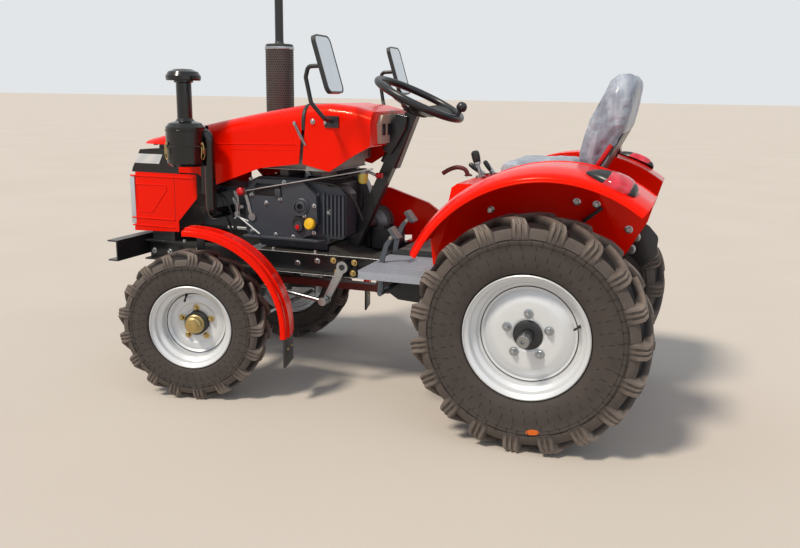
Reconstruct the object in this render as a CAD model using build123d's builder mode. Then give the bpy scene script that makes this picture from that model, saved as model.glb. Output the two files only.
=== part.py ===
from build123d import *
from math import radians, sin, cos, tan, asin, atan2, hypot, pi
import os

# Compact four-wheel tractor with a single-cylinder diesel, belt drive and an open platform.
# Frame: +X forward, +Y to the driver's left, +Z up, floor at Z = 0, millimetres.
# Distances ahead are measured from the rear axle; the origin is under the middle of the machine.

os.makedirs("parts", exist_ok=True)

# Overall layout
WHEELBASE = 1356
REAR_AXLE_TO_ORIGIN = 691.5
STEER_REST = 12.5
SIDES = (("left", 1), ("right", -1))

# Rear wheels
REAR_TYRE_R = 412
REAR_TYRE_W = 205
REAR_TRACK_HALF = 457
REAR_RIM_FLANGE_R = 219.5
REAR_BEAD_R = 203
REAR_FLANGE_HALF = 82
REAR_LUGS = 19
REAR_LUG_H = 27
REAR_LUG_T = 30
REAR_DISC_R = 161
REAR_DISC_OUT = 18
REAR_STUB_R = 22
REAR_STUB_END = 582
LUG_DRAFT = 7

# Front wheels
FRONT_TYRE_R = 298
FRONT_TYRE_W = 145
FRONT_RIM_FLANGE_R = 168
FRONT_BEAD_R = 152.5
FRONT_FLANGE_HALF = 63
FRONT_LUGS = 17
FRONT_LUG_H = 19
FRONT_LUG_T = 22
FRONT_DISC_R = 132
FRONT_DISC_OUT = -12
KINGPIN_HALF = 385
KINGPIN_TO_WHEEL = 75
KINGPIN_R = 14
FIT = 0.05
GAP = 0.3

# Frame rails and bumper
RAIL_TIP_Y = 225
RAIL_FLANGE = 48
RAIL_T = 6
RAIL_BOTTOM = 487
RAIL_TOP = 573
RAIL_REAR = 250
RAIL_FRONT = 1740
BUMPER_HALF = 405
BUMPER_BOTTOM = 509
BUMPER_TOP = 596
BUMPER_DEPTH = 48
BUMPER_T = 6

# Sheet metal
SHEET = 4
HOOD_HALF = 230
HOOD_SHOULDER_R = 62
HOOD_HINGE = (1700, 984)
FENDER_CENTRE = (-54, 452)
FENDER_R = 533
FENDER_OUT = 560
FENDER_IN = 252
FENDER_LIP = 45
FENDER_EDGE_R = 24
FOOTPLATE_TOP = 577
FOOTPLATE_REAR = 389
FOOTPLATE_FRONT = 637
FOOTPLATE_OUT = 480

# Drive line and engine
CRANK = (1007, 751)
CLUTCH_SHAFT = (829, 649)
ENGINE_LEFT = 150
ENGINE_RIGHT = -150

# Steering
COLUMN_TILT = 24.5
STEERING_WHEEL_CENTRE = (566, 1188)
STEERING_WHEEL_R = 190
STEERING_RIM_R = 14
WHEEL_DISH = 26
PITMAN_PIVOT = (797, 531)
PITMAN_LENGTH = 156
PITMAN_LEAN = 27
KNUCKLE_ARM = 157


def at(ahead, left, up):
    """Model point from distances ahead of the rear axle, left of the middle and above the floor."""
    return (ahead - REAR_AXLE_TO_ORIGIN, left, up)


def side(left=0):
    """Upright plane along the machine: local x runs ahead from the rear axle, local y runs up."""
    return Plane(origin=at(0, left, 0), x_dir=(1, 0, 0), z_dir=(0, -1, 0))


def across(ahead):
    """Upright plane across the machine: local x runs to the left, local y runs up."""
    return Plane(origin=at(ahead, 0, 0), x_dir=(0, 1, 0), z_dir=(1, 0, 0))


def level(up):
    """Level plane: local x runs ahead from the rear axle, local y runs to the left."""
    return Plane(origin=at(0, 0, up), x_dir=(1, 0, 0), z_dir=(0, 0, 1))


def save(part, name):
    part.label = name
    export_step(part, "parts/" + name + ".step")


# Frame rails: two channels, open outwards, tied by four cross tubes
with BuildPart() as frame_rails:
    with BuildSketch(across(RAIL_REAR)) as rail_section:
        for name, way in SIDES:
            web = way * (RAIL_TIP_Y - RAIL_FLANGE + RAIL_T / 2)
            middle = way * (RAIL_TIP_Y - RAIL_FLANGE / 2)
            with Locations((web, (RAIL_TOP + RAIL_BOTTOM) / 2)):
                Rectangle(RAIL_T, RAIL_TOP - RAIL_BOTTOM)
            with Locations((middle, RAIL_TOP - RAIL_T / 2), (middle, RAIL_BOTTOM + RAIL_T / 2)):
                Rectangle(RAIL_FLANGE, RAIL_T)
    extrude(amount=RAIL_FRONT - RAIL_REAR)
    for ahead in (700, 925, 1250, 1660):
        with BuildSketch(side()) as tie:
            with Locations((ahead, (RAIL_TOP + RAIL_BOTTOM) / 2)):
                Rectangle(50, 60)
        extrude(amount=RAIL_TIP_Y - RAIL_FLANGE, both=True)

# Front bumper: one channel across the nose, open to the front
with BuildPart() as front_bumper:
    with BuildSketch(side()):
        with BuildLine():
            Polyline(
                (RAIL_FRONT, BUMPER_BOTTOM), (RAIL_FRONT + BUMPER_DEPTH, BUMPER_BOTTOM),
                (RAIL_FRONT + BUMPER_DEPTH, BUMPER_BOTTOM + BUMPER_T),
                (RAIL_FRONT + BUMPER_T, BUMPER_BOTTOM + BUMPER_T),
                (RAIL_FRONT + BUMPER_T, BUMPER_TOP - BUMPER_T),
                (RAIL_FRONT + BUMPER_DEPTH, BUMPER_TOP - BUMPER_T),
                (RAIL_FRONT + BUMPER_DEPTH, BUMPER_TOP), (RAIL_FRONT, BUMPER_TOP), close=True)
        make_face()
    extrude(amount=BUMPER_HALF, both=True)
save(front_bumper.part, "front_bumper")


# Every wheel is drawn at the origin with its axle along +Y, outboard, and then put in its place
WHEEL_SECTION = Plane(origin=(0, 0, 0), x_dir=(0, 1, 0), z_dir=(1, 0, 0))


def kingpin_frame(way, up=0):
    """Level plane on a kingpin: local x runs ahead along the steered wheel, local y runs left."""
    turn = radians(STEER_REST)
    return Plane(origin=at(WHEELBASE, way * KINGPIN_HALF, up), x_dir=(cos(turn), sin(turn), 0),
                 z_dir=(0, 0, 1))


def steered(way, ahead, out, up):
    """Model point from a kingpin, ahead and outboard in the steered wheel's own directions."""
    turn = radians(STEER_REST)
    left = way * out
    return at(WHEELBASE + ahead * cos(turn) - left * sin(turn),
              way * KINGPIN_HALF + ahead * sin(turn) + left * cos(turn), up)


def steered_out(way):
    turn = radians(STEER_REST)
    return (-way * sin(turn), way * cos(turn), 0)


def kingpin_side(way, out):
    """Upright plane along a steered wheel, at a distance outboard of its kingpin."""
    turn = radians(STEER_REST)
    return Plane(origin=steered(way, 0, out, 0), x_dir=(cos(turn), sin(turn), 0),
                 z_dir=(sin(turn), -cos(turn), 0))


def rear_wheel_place(way, up):
    return Location(at(0, way * REAR_TRACK_HALF, up))


def front_wheel_place(way, up):
    return Location(steered(way, 0, KINGPIN_TO_WHEEL, up), (0, 0, STEER_REST))


def save_pair(part, name, place, up):
    """Write a wheel piece at its left place, and its mirror image at the right one."""
    save(place(1, up) * part, name + "_left")
    save(place(-1, up) * mirror(part, about=Plane.XZ), name + "_right")


def make_tyre(outer_r, width, bead_r, bead_half, flange_r, lugs, lug_h, lug_t):
    """Tyre with a round carcass and two rows of slanting bars that meet in a V."""
    carcass_r = outer_r - lug_h
    half = width / 2
    with BuildPart() as tyre:
        with BuildSketch(WHEEL_SECTION):
            with BuildLine():
                Polyline((bead_half, flange_r + 2), (bead_half, bead_r), (-bead_half, bead_r),
                         (-bead_half, flange_r + 2))
                middle_r = (flange_r + carcass_r) / 2
                shoulder_r = carcass_r - 0.09 * outer_r
                ThreePointArc((bead_half, flange_r + 2), (half, middle_r), (0.95 * half, shoulder_r))
                ThreePointArc((-bead_half, flange_r + 2), (-half, middle_r), (-0.95 * half, shoulder_r))
                Polyline((0.95 * half, shoulder_r), (0.80 * half, carcass_r), (-0.80 * half, carcass_r),
                         (-0.95 * half, shoulder_r))
            make_face()
        revolve(axis=Axis.Y)
        bar_run = 0.42 * half
        root_r = shoulder_r + 2
        corner = bar_run + lug_t / 2 - (outer_r - root_r) * tan(radians(LUG_DRAFT))
        top_r = (outer_r ** 2 - corner ** 2) ** 0.5
        for number in range(2 * lugs):
            row = 1 if number % 2 else -1
            turn = pi * (number + 0.5) / lugs
            radial = Vector(sin(turn), 0, cos(turn))
            bar = Plane(origin=radial * root_r, x_dir=(0, row, 0), z_dir=radial)
            with BuildSketch(bar):
                with BuildLine():
                    Polyline((-0.06 * half, row * (bar_run + lug_t / 2)),
                             (-0.06 * half, row * (bar_run - lug_t / 2)),
                             (0.45 * half, row * (-0.1 * bar_run - lug_t / 2)),
                             (0.985 * half, row * (-bar_run - lug_t / 2)),
                             (0.985 * half, row * (-bar_run + lug_t / 2)),
                             (0.45 * half, row * (-0.1 * bar_run + lug_t / 2)), close=True)
                make_face()
            extrude(amount=top_r - root_r, taper=LUG_DRAFT)
    return tyre.part


def make_rim(flange_r, bead_r, flange_half, disc_out, disc_r, bore_r, dish):
    """Pressed rim with a drop centre, and its welded disc, dished round the hub."""
    seat = flange_half - 12
    drop_r = bead_r - 19
    wall = 5
    with BuildPart() as rim:
        with BuildSketch(WHEEL_SECTION):
            with BuildLine():
                Polyline((-flange_half, flange_r), (-seat, flange_r), (-seat, bead_r),
                         (-0.6 * seat, bead_r), (-0.45 * seat, drop_r), (0.45 * seat, drop_r),
                         (0.6 * seat, bead_r), (seat, bead_r), (seat, flange_r),
                         (flange_half, flange_r), (flange_half, flange_r - 9),
                         (seat + wall, bead_r - wall), (0.6 * seat + wall, bead_r - wall),
                         (0.45 * seat + wall, drop_r - wall), (-0.45 * seat - wall, drop_r - wall),
                         (-0.6 * seat - wall, bead_r - wall), (-seat - wall, bead_r - wall),
                         (-flange_half, flange_r - 9), close=True)
            make_face()
            with BuildLine():
                inner = disc_out - wall
                Polyline((inner + dish, bore_r), (inner + dish, 0.62 * disc_r), (inner, disc_r),
                         (inner, drop_r - wall), (disc_out, drop_r - wall),
                         (disc_out, disc_r + 2), (disc_out + dish, 0.62 * disc_r + 2),
                         (disc_out + dish, bore_r), close=True)
            make_face()
        revolve(axis=Axis.Y)
    return rim.part


# Rear wheels, one body each: tyre, rim with disc, hub with its long stub shaft and five nuts
REAR_DISH = 12
REAR_BORE_R = 52
REAR_BOLT_R = 76
TRUMPET_END = 345
rear_tyre = make_tyre(REAR_TYRE_R, REAR_TYRE_W, REAR_BEAD_R, REAR_FLANGE_HALF - 12,
                      REAR_RIM_FLANGE_R, REAR_LUGS, REAR_LUG_H, REAR_LUG_T)
REAR_AXLE_UP = -rear_tyre.bounding_box().min.Z
save_pair(rear_tyre, "tyre_rear", rear_wheel_place, REAR_AXLE_UP)
rear_rim = make_rim(REAR_RIM_FLANGE_R, REAR_BEAD_R, REAR_FLANGE_HALF, REAR_DISC_OUT,
                    REAR_DISC_R, REAR_BORE_R, REAR_DISH)
face = REAR_DISC_OUT + REAR_DISH
inner = TRUMPET_END + GAP - REAR_TRACK_HALF
stub_end = REAR_STUB_END - REAR_TRACK_HALF
with BuildPart() as rear_hub:
    with BuildSketch(WHEEL_SECTION):
        with BuildLine():
            Polyline((inner, 0), (inner, REAR_STUB_R + 8), (-60, REAR_STUB_R + 8),
                     (-40, REAR_BORE_R - 4), (face - 19, REAR_BORE_R - 4), (face - 19, 98),
                     (face - 5, 98), (face - 5, REAR_BORE_R - 2), (face + 8, REAR_BORE_R - 2),
                     (face + 14, REAR_BORE_R - 8), (face + 14, REAR_STUB_R),
                     (stub_end - 3, REAR_STUB_R), (stub_end, REAR_STUB_R - 3), (stub_end, 0),
                     close=True)
        make_face()
    revolve(axis=Axis.Y)
    with BuildSketch(Plane(origin=(0, face, 0), x_dir=(0, 0, 1), z_dir=(0, 1, 0))):
        with PolarLocations(REAR_BOLT_R, 5, start_angle=18):
            RegularPolygon(13, 6)
    extrude(amount=16)
save_pair(rear_rim + rear_hub.part, "wheel_rear", rear_wheel_place, REAR_AXLE_UP)

# Front wheels, steered with their knuckles
FRONT_DISH = -4
FRONT_BORE_R = 50
FRONT_BOLT_R = 63
SPINDLE_R = 15
front_tyre = make_tyre(FRONT_TYRE_R, FRONT_TYRE_W, FRONT_BEAD_R, FRONT_FLANGE_HALF - 12,
                       FRONT_RIM_FLANGE_R, FRONT_LUGS, FRONT_LUG_H, FRONT_LUG_T)
FRONT_AXLE_UP = -front_tyre.bounding_box().min.Z
save_pair(front_tyre, "tyre_front", front_wheel_place, FRONT_AXLE_UP)
front_rim = make_rim(FRONT_RIM_FLANGE_R, FRONT_BEAD_R, FRONT_FLANGE_HALF, FRONT_DISC_OUT,
                     FRONT_DISC_R - 12, FRONT_BORE_R, FRONT_DISH)
face = FRONT_DISC_OUT + FRONT_DISH
with BuildPart() as front_hub:
    with BuildSketch(WHEEL_SECTION):
        with BuildLine():
            Polyline((face - 22, SPINDLE_R + FIT), (face - 22, 40), (face - 17, 40),
                     (face - 17, 84), (face - 5, 84), (face - 5, FRONT_BORE_R - 2),
                     (face + 20, FRONT_BORE_R - 2), (face + 26, 36), (face + 38, 34),
                     (face + 60, 34), (face + 66, 28), (face + 66, 0), (face + 34, 0),
                     (face + 34, SPINDLE_R + FIT), close=True)
        make_face()
    revolve(axis=Axis.Y)
    with BuildSketch(Plane(origin=(0, face, 0), x_dir=(0, 0, 1), z_dir=(0, 1, 0))):
        with PolarLocations(FRONT_BOLT_R, 5, start_angle=18):
            RegularPolygon(12, 6)
    extrude(amount=15)
save_pair(front_rim + front_hub.part, "wheel_front", front_wheel_place, FRONT_AXLE_UP)


# Front axle: a beam with an eye for each kingpin, hung on a lengthwise pivot from the rails
BEAM_UP = 342
BEAM_H = 56
BEAM_T = 50
EYE_R = 25
EYE_H = 60
PIVOT_R = 20
with BuildPart() as front_axle:
    with BuildSketch(level(BEAM_UP - BEAM_H / 2)):
        with Locations((WHEELBASE, 0)):
            Rectangle(BEAM_T, 2 * (KINGPIN_HALF - EYE_R + 8))
    extrude(amount=BEAM_H)
    with BuildSketch(level(BEAM_UP - EYE_H / 2)):
        with Locations((WHEELBASE, KINGPIN_HALF), (WHEELBASE, -KINGPIN_HALF)):
            Circle(EYE_R)
    extrude(amount=EYE_H)
    with BuildSketch(level(BEAM_UP - EYE_H / 2)):
        with Locations((WHEELBASE, KINGPIN_HALF), (WHEELBASE, -KINGPIN_HALF)):
            Circle(KINGPIN_R + FIT)
    extrude(amount=EYE_H, mode=Mode.SUBTRACT)
    with BuildSketch(across(WHEELBASE - 62)):
        with Locations((0, BEAM_UP)):
            Circle(PIVOT_R)
    extrude(amount=124)
save(front_axle.part, "front_axle")

# Axle saddle: two hangers under the rails that hold the pivot, with a plate on top
with BuildPart() as axle_saddle:
    with BuildSketch(level(RAIL_BOTTOM - 12)):
        with Locations((WHEELBASE, 0)):
            Rectangle(170, 2 * (RAIL_TIP_Y - RAIL_FLANGE + 20))
    extrude(amount=12)
    for ahead in (WHEELBASE - 60, WHEELBASE + 42):
        with BuildSketch(across(ahead)):
            with BuildLine():
                Polyline((-90, RAIL_BOTTOM - 12), (-38, BEAM_UP - 10), (-30, BEAM_UP - 36),
                         (30, BEAM_UP - 36), (38, BEAM_UP - 10), (90, RAIL_BOTTOM - 12), close=True)
            make_face()
            with Locations((0, BEAM_UP)):
                Circle(PIVOT_R, mode=Mode.SUBTRACT)
        extrude(amount=18)

# Bracket on the right rail's web that carries the clutch shaft
CLUTCH_SHAFT_R = 14
with BuildPart() as clutch_bracket:
    with BuildSketch(side(-70)):
        with BuildLine():
            Polyline((800, 500), (858, 500), (858, 640), (800, 640), close=True)
        make_face()
        with Locations(CLUTCH_SHAFT):
            Circle(34)
    extrude(amount=70)
    with BuildSketch(side(-140)):
        with Locations((829, 530)):
            Rectangle(58, 60)
    extrude(amount=RAIL_TIP_Y - RAIL_FLANGE - 140)
    with BuildSketch(side(-70)):
        with Locations(CLUTCH_SHAFT):
            Circle(CLUTCH_SHAFT_R + FIT)
    extrude(amount=70, mode=Mode.SUBTRACT)
save(frame_rails.part + axle_saddle.part + clutch_bracket.part, "frame_rails")

# Radius rod: the red bar that steadies the axle saddle from the belly of the frame
ROD_REAR = 675
ROD_UP = 402
TIE_BOTTOM = 500
with BuildPart() as radius_rod:
    with BuildSketch(across(ROD_REAR)):
        with Locations((0, ROD_UP)):
            Rectangle(44, 30)
    extrude(amount=WHEELBASE - 60 - ROD_REAR)
    with BuildSketch(side(30)):
        with BuildLine():
            Polyline((ROD_REAR, ROD_UP - 15), (ROD_REAR + 60, ROD_UP - 15), (ROD_REAR + 60, ROD_UP + 15),
                     (ROD_REAR + 45, TIE_BOTTOM), (ROD_REAR + 5, TIE_BOTTOM), (ROD_REAR, ROD_UP + 15),
                     close=True)
        make_face()
    extrude(amount=60)
save(radius_rod.part, "radius_rod")

# Knuckles: kingpin between two ears, spindle, tie-rod arm, and the fender's stays
EAR_T = 16
BACK_PLATE = (26, 35)
TIE_ARM = (-120, 0)
TIE_ARM_UP = 268
TOP_BOSS_UP = 424
STUD_R = 8
FENDER_IN_R = 372
FENDER_BAND_R = 385
STAY_ANGLES = (90, 150)
for name, way in SIDES:
    with BuildPart() as knuckle:
        with BuildSketch(kingpin_frame(way, FRONT_AXLE_UP - 44)):
            Circle(KINGPIN_R)
        extrude(amount=TOP_BOSS_UP + 12 - FRONT_AXLE_UP + 44)
        for low in (BEAM_UP - EYE_H / 2 - GAP - EAR_T, BEAM_UP + EYE_H / 2 + GAP):
            with BuildSketch(kingpin_frame(way, low)):
                Circle(26)
                with Locations((0, way * BACK_PLATE[1] / 2)):
                    Rectangle(52, BACK_PLATE[1])
            extrude(amount=EAR_T)
        with BuildSketch(kingpin_frame(way, FRONT_AXLE_UP - 32)):
            with Locations((0, way * (BACK_PLATE[0] + BACK_PLATE[1]) / 2)):
                Rectangle(56, BACK_PLATE[1] - BACK_PLATE[0])
        extrude(amount=BEAM_UP + EYE_H / 2 + GAP + EAR_T - FRONT_AXLE_UP + 32)
        with BuildSketch(Plane(origin=steered(way, 0, BACK_PLATE[0], FRONT_AXLE_UP),
                               x_dir=(0, 0, 1), z_dir=steered_out(way))):
            Circle(SPINDLE_R)
        extrude(amount=KINGPIN_TO_WHEEL - BACK_PLATE[0] + FRONT_DISC_OUT + FRONT_DISH + 32)
        with BuildSketch(kingpin_frame(way, TIE_ARM_UP)):
            with BuildLine():
                Polyline((12, way * 12), (12, way * -20), (TIE_ARM[0] + 6, way * (TIE_ARM[1] - 13)),
                         (TIE_ARM[0] - 12, way * (TIE_ARM[1] - 8)),
                         (TIE_ARM[0] - 12, way * (TIE_ARM[1] + 8)),
                         (TIE_ARM[0] + 6, way * (TIE_ARM[1] + 13)), (-14, way * 12), close=True)
            make_face()
        extrude(amount=14)
        with BuildSketch(kingpin_frame(way, TIE_ARM_UP)):
            Circle(22)
        extrude(amount=BEAM_UP - EYE_H / 2 - GAP - TIE_ARM_UP)
        with BuildSketch(kingpin_frame(way, BEAM_UP + EYE_H / 2)):
            Circle(20)
        extrude(amount=TOP_BOSS_UP + 12 - BEAM_UP - EYE_H / 2)
        with BuildSketch(kingpin_side(way, -16)):
            with BuildLine():
                Polyline((-16, TOP_BOSS_UP), (16, TOP_BOSS_UP), (16, FRONT_AXLE_UP + FENDER_IN_R - 12),
                         (-16, FRONT_AXLE_UP + FENDER_IN_R - 12), close=True)
            make_face()
        extrude(amount=4, both=True)
        with BuildSketch(kingpin_side(way, -16)):
            with BuildLine():
                Polyline((-16, TOP_BOSS_UP - 12), (0, TOP_BOSS_UP + 12), (-318, FRONT_AXLE_UP + 192),
                         (-318, FRONT_AXLE_UP + 162), close=True)
            make_face()
        extrude(amount=4, both=True)
        axle_point = Vector(*steered(way, 0, 0, FRONT_AXLE_UP))
        ahead = Vector(cos(radians(STEER_REST)), sin(radians(STEER_REST)), 0)
        for angle in STAY_ANGLES:
            radial = ahead * cos(radians(angle)) + Vector(0, 0, 1) * sin(radians(angle))
            stay_end = axle_point + radial * (FENDER_IN_R - 18)
            for middle, width, height in ((16, 72, 6), (40, 24, FENDER_BAND_R - FENDER_IN_R + 18 - 0.4)):
                with BuildSketch(Plane(origin=stay_end, x_dir=steered_out(way), z_dir=radial)):
                    with Locations((middle, 0)):
                        Rectangle(width, 32)
                extrude(amount=height)
        with BuildSketch(kingpin_frame(way, TIE_ARM_UP - 27)):
            with Locations((TIE_ARM[0], way * TIE_ARM[1])):
                Circle(STUD_R)
        extrude(amount=27)
        if way > 0:
            with BuildSketch(kingpin_frame(way, TOP_BOSS_UP)):
                with Locations((0, -KNUCKLE_ARM)):
                    Circle(STUD_R)
            extrude(amount=46)
            with BuildSketch(kingpin_frame(way, TOP_BOSS_UP)):
                with BuildLine():
                    Polyline((22, 6), (22, -18), (11, -KNUCKLE_ARM - 12), (-11, -KNUCKLE_ARM - 12),
                             (-22, -18), (-22, 6), close=True)
                make_face()
            extrude(amount=12)
    save(knuckle.part, "knuckle_" + name)


# Front fenders: cycle fenders with a raised band, bent lips and a rubber flap behind
FENDER_FROM, FENDER_TO = 88, 184
FLAP_BOTTOM = 190
for name, way in SIDES:
    axle_point = steered(way, 0, 0, FRONT_AXLE_UP)
    start = radians(FENDER_FROM)
    ahead = Vector(cos(radians(STEER_REST)), sin(radians(STEER_REST)), 0)
    radial = ahead * cos(start) + Vector(0, 0, 1) * sin(start)
    out = Vector(*steered_out(way))
    section = Plane(origin=axle_point, x_dir=out, z_dir=out.cross(radial))
    with BuildPart() as front_fender:
        with BuildSketch(section):
            with BuildLine():
                Polyline((17, 372), (17, 383), (26, 388), (50, 388), (56, 393), (112, 393), (118, 388),
                         (141, 388), (150, 381), (150, 366), (147, 366), (147, 380), (140, 385),
                         (117, 385), (111, 390), (57, 390), (51, 385), (27, 385), (20, 381), (20, 372),
                         close=True)
            make_face()
        revolve(axis=Axis(axle_point, out), revolution_arc=-way * (FENDER_TO - FENDER_FROM))
        with BuildSketch(kingpin_frame(way, FLAP_BOTTOM)):
            with Locations((-381, way * 84)):
                Rectangle(5, 122)
        extrude(amount=FRONT_AXLE_UP - 20 - FLAP_BOTTOM)
    save(front_fender.part, "front_fender_" + name)

# Tie rod between the knuckles' rear arms, with a round end on each pin
TIE_ROD_R = 10
tie_ends = [Vector(*steered(way, TIE_ARM[0], TIE_ARM[1], TIE_ARM_UP - 16)) for name, way in SIDES]
along = (tie_ends[1] - tie_ends[0]).normalized()
with BuildPart() as tie_rod:
    with BuildSketch(Plane(origin=tie_ends[0], z_dir=along)):
        Circle(TIE_ROD_R)
    extrude(amount=(tie_ends[1] - tie_ends[0]).length)
    for end in tie_ends:
        with BuildSketch(Plane(origin=end - Vector(0, 0, 14), z_dir=(0, 0, 1))):
            Circle(15)
        extrude(amount=30 - GAP)
    for end in tie_ends:
        with BuildSketch(Plane(origin=end - Vector(0, 0, 14), z_dir=(0, 0, 1))):
            Circle(STUD_R + FIT)
        extrude(amount=30, mode=Mode.SUBTRACT)
save(tie_rod.part, "tie_rod")

# The column's line runs from the steering box up to the wheel
tilt = radians(COLUMN_TILT)
column_up = Vector(-sin(tilt), 0, cos(tilt))
wheel_centre = Vector(*at(STEERING_WHEEL_CENTRE[0], 0, STEERING_WHEEL_CENTRE[1]))
COLUMN_LENGTH = 668
COLUMN_FOOT = (STEERING_WHEEL_CENTRE[0] + COLUMN_LENGTH * sin(tilt),
               STEERING_WHEEL_CENTRE[1] - COLUMN_LENGTH * cos(tilt))

# Steering box inside the left rail, with its flange on the web and the shaft out to the drop arm
PITMAN_Y = 236
with BuildPart() as steering_box:
    with BuildSketch(side(-45)):
        with BuildLine():
            Polyline((742, 496), (742, 548),
                     (COLUMN_FOOT[0] - 40 * cos(tilt), COLUMN_FOOT[1] - 40 * sin(tilt)),
                     (COLUMN_FOOT[0] + 40 * cos(tilt), COLUMN_FOOT[1] + 40 * sin(tilt)),
                     (COLUMN_FOOT[0] + 40, 560), (COLUMN_FOOT[0] + 40, 496), close=True)
        make_face()
    extrude(amount=-45 - (RAIL_TIP_Y - RAIL_FLANGE))
    with BuildSketch(side(RAIL_TIP_Y - RAIL_FLANGE + RAIL_T)):
        with Locations((PITMAN_PIVOT[0], PITMAN_PIVOT[1])):
            RectangleRounded(84, 66, 12)
    extrude(amount=-9)
    with BuildSketch(side(RAIL_TIP_Y - RAIL_FLANGE + RAIL_T)):
        with Locations((PITMAN_PIVOT[0], PITMAN_PIVOT[1])):
            Circle(24)
    extrude(amount=-20)
    with BuildSketch(side(RAIL_TIP_Y - RAIL_FLANGE + RAIL_T)):
        with Locations((PITMAN_PIVOT[0], PITMAN_PIVOT[1])):
            Circle(12)
    extrude(amount=-(PITMAN_Y + 9 - RAIL_TIP_Y + RAIL_FLANGE - RAIL_T))
save(steering_box.part, "steering_box")

# Drop arm on the steering box's shaft, hanging forward to its ball
lean = radians(PITMAN_LEAN)
PITMAN_BALL = (PITMAN_PIVOT[0] + PITMAN_LENGTH * sin(lean), PITMAN_PIVOT[1] - PITMAN_LENGTH * cos(lean))
with BuildPart() as pitman_arm:
    with BuildSketch(side(PITMAN_Y - 7)):
        with Locations(PITMAN_PIVOT):
            Circle(24)
        with Locations(PITMAN_BALL):
            Circle(17)
        with BuildLine():
            Polyline(*[(PITMAN_PIVOT[0] + u * cos(lean) + v * sin(lean),
                        PITMAN_PIVOT[1] + u * sin(lean) - v * cos(lean))
                       for u, v in ((-17, 0), (17, 0), (13, PITMAN_LENGTH), (-13, PITMAN_LENGTH))],
                     close=True)
        make_face()
        with Locations(PITMAN_PIVOT):
            Circle(12 + FIT, mode=Mode.SUBTRACT)
    extrude(amount=-14)
save(pitman_arm.part, "pitman_arm")

# Drag link from the drop arm's ball to the left knuckle's arm
LINK_Y = PITMAN_Y + 30
LINK_END_UP = TOP_BOSS_UP + 34
link_rear = Vector(*at(PITMAN_BALL[0], LINK_Y, PITMAN_BALL[1]))
link_front = Vector(*steered(1, 0, -KNUCKLE_ARM, LINK_END_UP))
along = (link_front - link_rear).normalized()
with BuildPart() as drag_link:
    with BuildSketch(Plane(origin=link_rear, z_dir=along)):
        Circle(9)
    extrude(amount=(link_front - link_rear).length)
    with BuildSketch(Plane(origin=link_rear + Vector(0, 14, 0), z_dir=(0, -1, 0))):
        Circle(17)
    extrude(amount=30)
    with BuildSketch(Plane(origin=link_front - Vector(0, 0, 22 - GAP), z_dir=(0, 0, 1))):
        Circle(17)
    extrude(amount=36)
    with BuildSketch(Plane(origin=link_front - Vector(0, 0, 22 - GAP), z_dir=(0, 0, 1))):
        Circle(STUD_R + FIT)
    extrude(amount=36, mode=Mode.SUBTRACT)
save(drag_link.part, "drag_link")

# Steering column: square lower post, cover and the shaft to the wheel
with BuildPart() as steering_column:
    with BuildSketch(Plane(origin=wheel_centre - column_up * COLUMN_LENGTH, x_dir=(0, 1, 0),
                           z_dir=column_up)):
        Rectangle(46, 46)
    extrude(amount=COLUMN_LENGTH - 288)
    with BuildSketch(Plane(origin=wheel_centre - column_up * 288, x_dir=(0, 1, 0), z_dir=column_up)):
        RectangleRounded(74, 74, 14)
    extrude(amount=230, taper=3)
    with BuildSketch(Plane(origin=wheel_centre - column_up * 60, x_dir=(0, 1, 0), z_dir=column_up)):
        Circle(16)
    extrude(amount=60 - WHEEL_DISH - 12 - GAP)
save(steering_column.part, "steering_column")

# Steering wheel: rim, three spokes, hub and the spinner knob
wheel_up = column_up
wheel_back = Vector(-cos(tilt), 0, -sin(tilt))
with BuildPart() as steering_wheel:
    rim_plane = Plane(origin=wheel_centre, x_dir=wheel_back, z_dir=Vector(0, 1, 0))
    with BuildSketch(rim_plane):
        with Locations((STEERING_WHEEL_R, 0)):
            Circle(STEERING_RIM_R)
    revolve(axis=Axis(wheel_centre, wheel_up))
    hub_base = wheel_centre - wheel_up * (WHEEL_DISH + 12)
    with BuildSketch(Plane(origin=hub_base, x_dir=(0, 1, 0), z_dir=wheel_up)):
        Circle(38)
    extrude(amount=26)
    for number in range(3):
        turn = 2 * pi * number / 3 + pi / 2
        spoke_out = Vector(0, 1, 0) * sin(turn) + wheel_back * cos(turn)
        spoke_side = wheel_up.cross(spoke_out)
        start = wheel_centre - wheel_up * WHEEL_DISH + spoke_out * 30
        finish = wheel_centre + spoke_out * (STEERING_WHEEL_R - 4)
        with BuildSketch(Plane(origin=start, x_dir=spoke_side, z_dir=finish - start)):
            Rectangle(24, 9)
        extrude(amount=(finish - start).length)
    knob_out = wheel_back * cos(radians(62)) + Vector(0, 1, 0) * sin(radians(62))
    knob_base = wheel_centre + knob_out * STEERING_WHEEL_R
    with BuildSketch(Plane(origin=knob_base, x_dir=wheel_back, z_dir=Vector(0, 1, 0))):
        with BuildLine():
            Polyline((0, 0), (8, 0), (8, 24), (18, 26), (21, 36), (19, 52), (12, 59), (0, 61), close=True)
        make_face()
    revolve(axis=Axis(knob_base, wheel_up))
save(steering_wheel.part, "steering_wheel")

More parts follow.
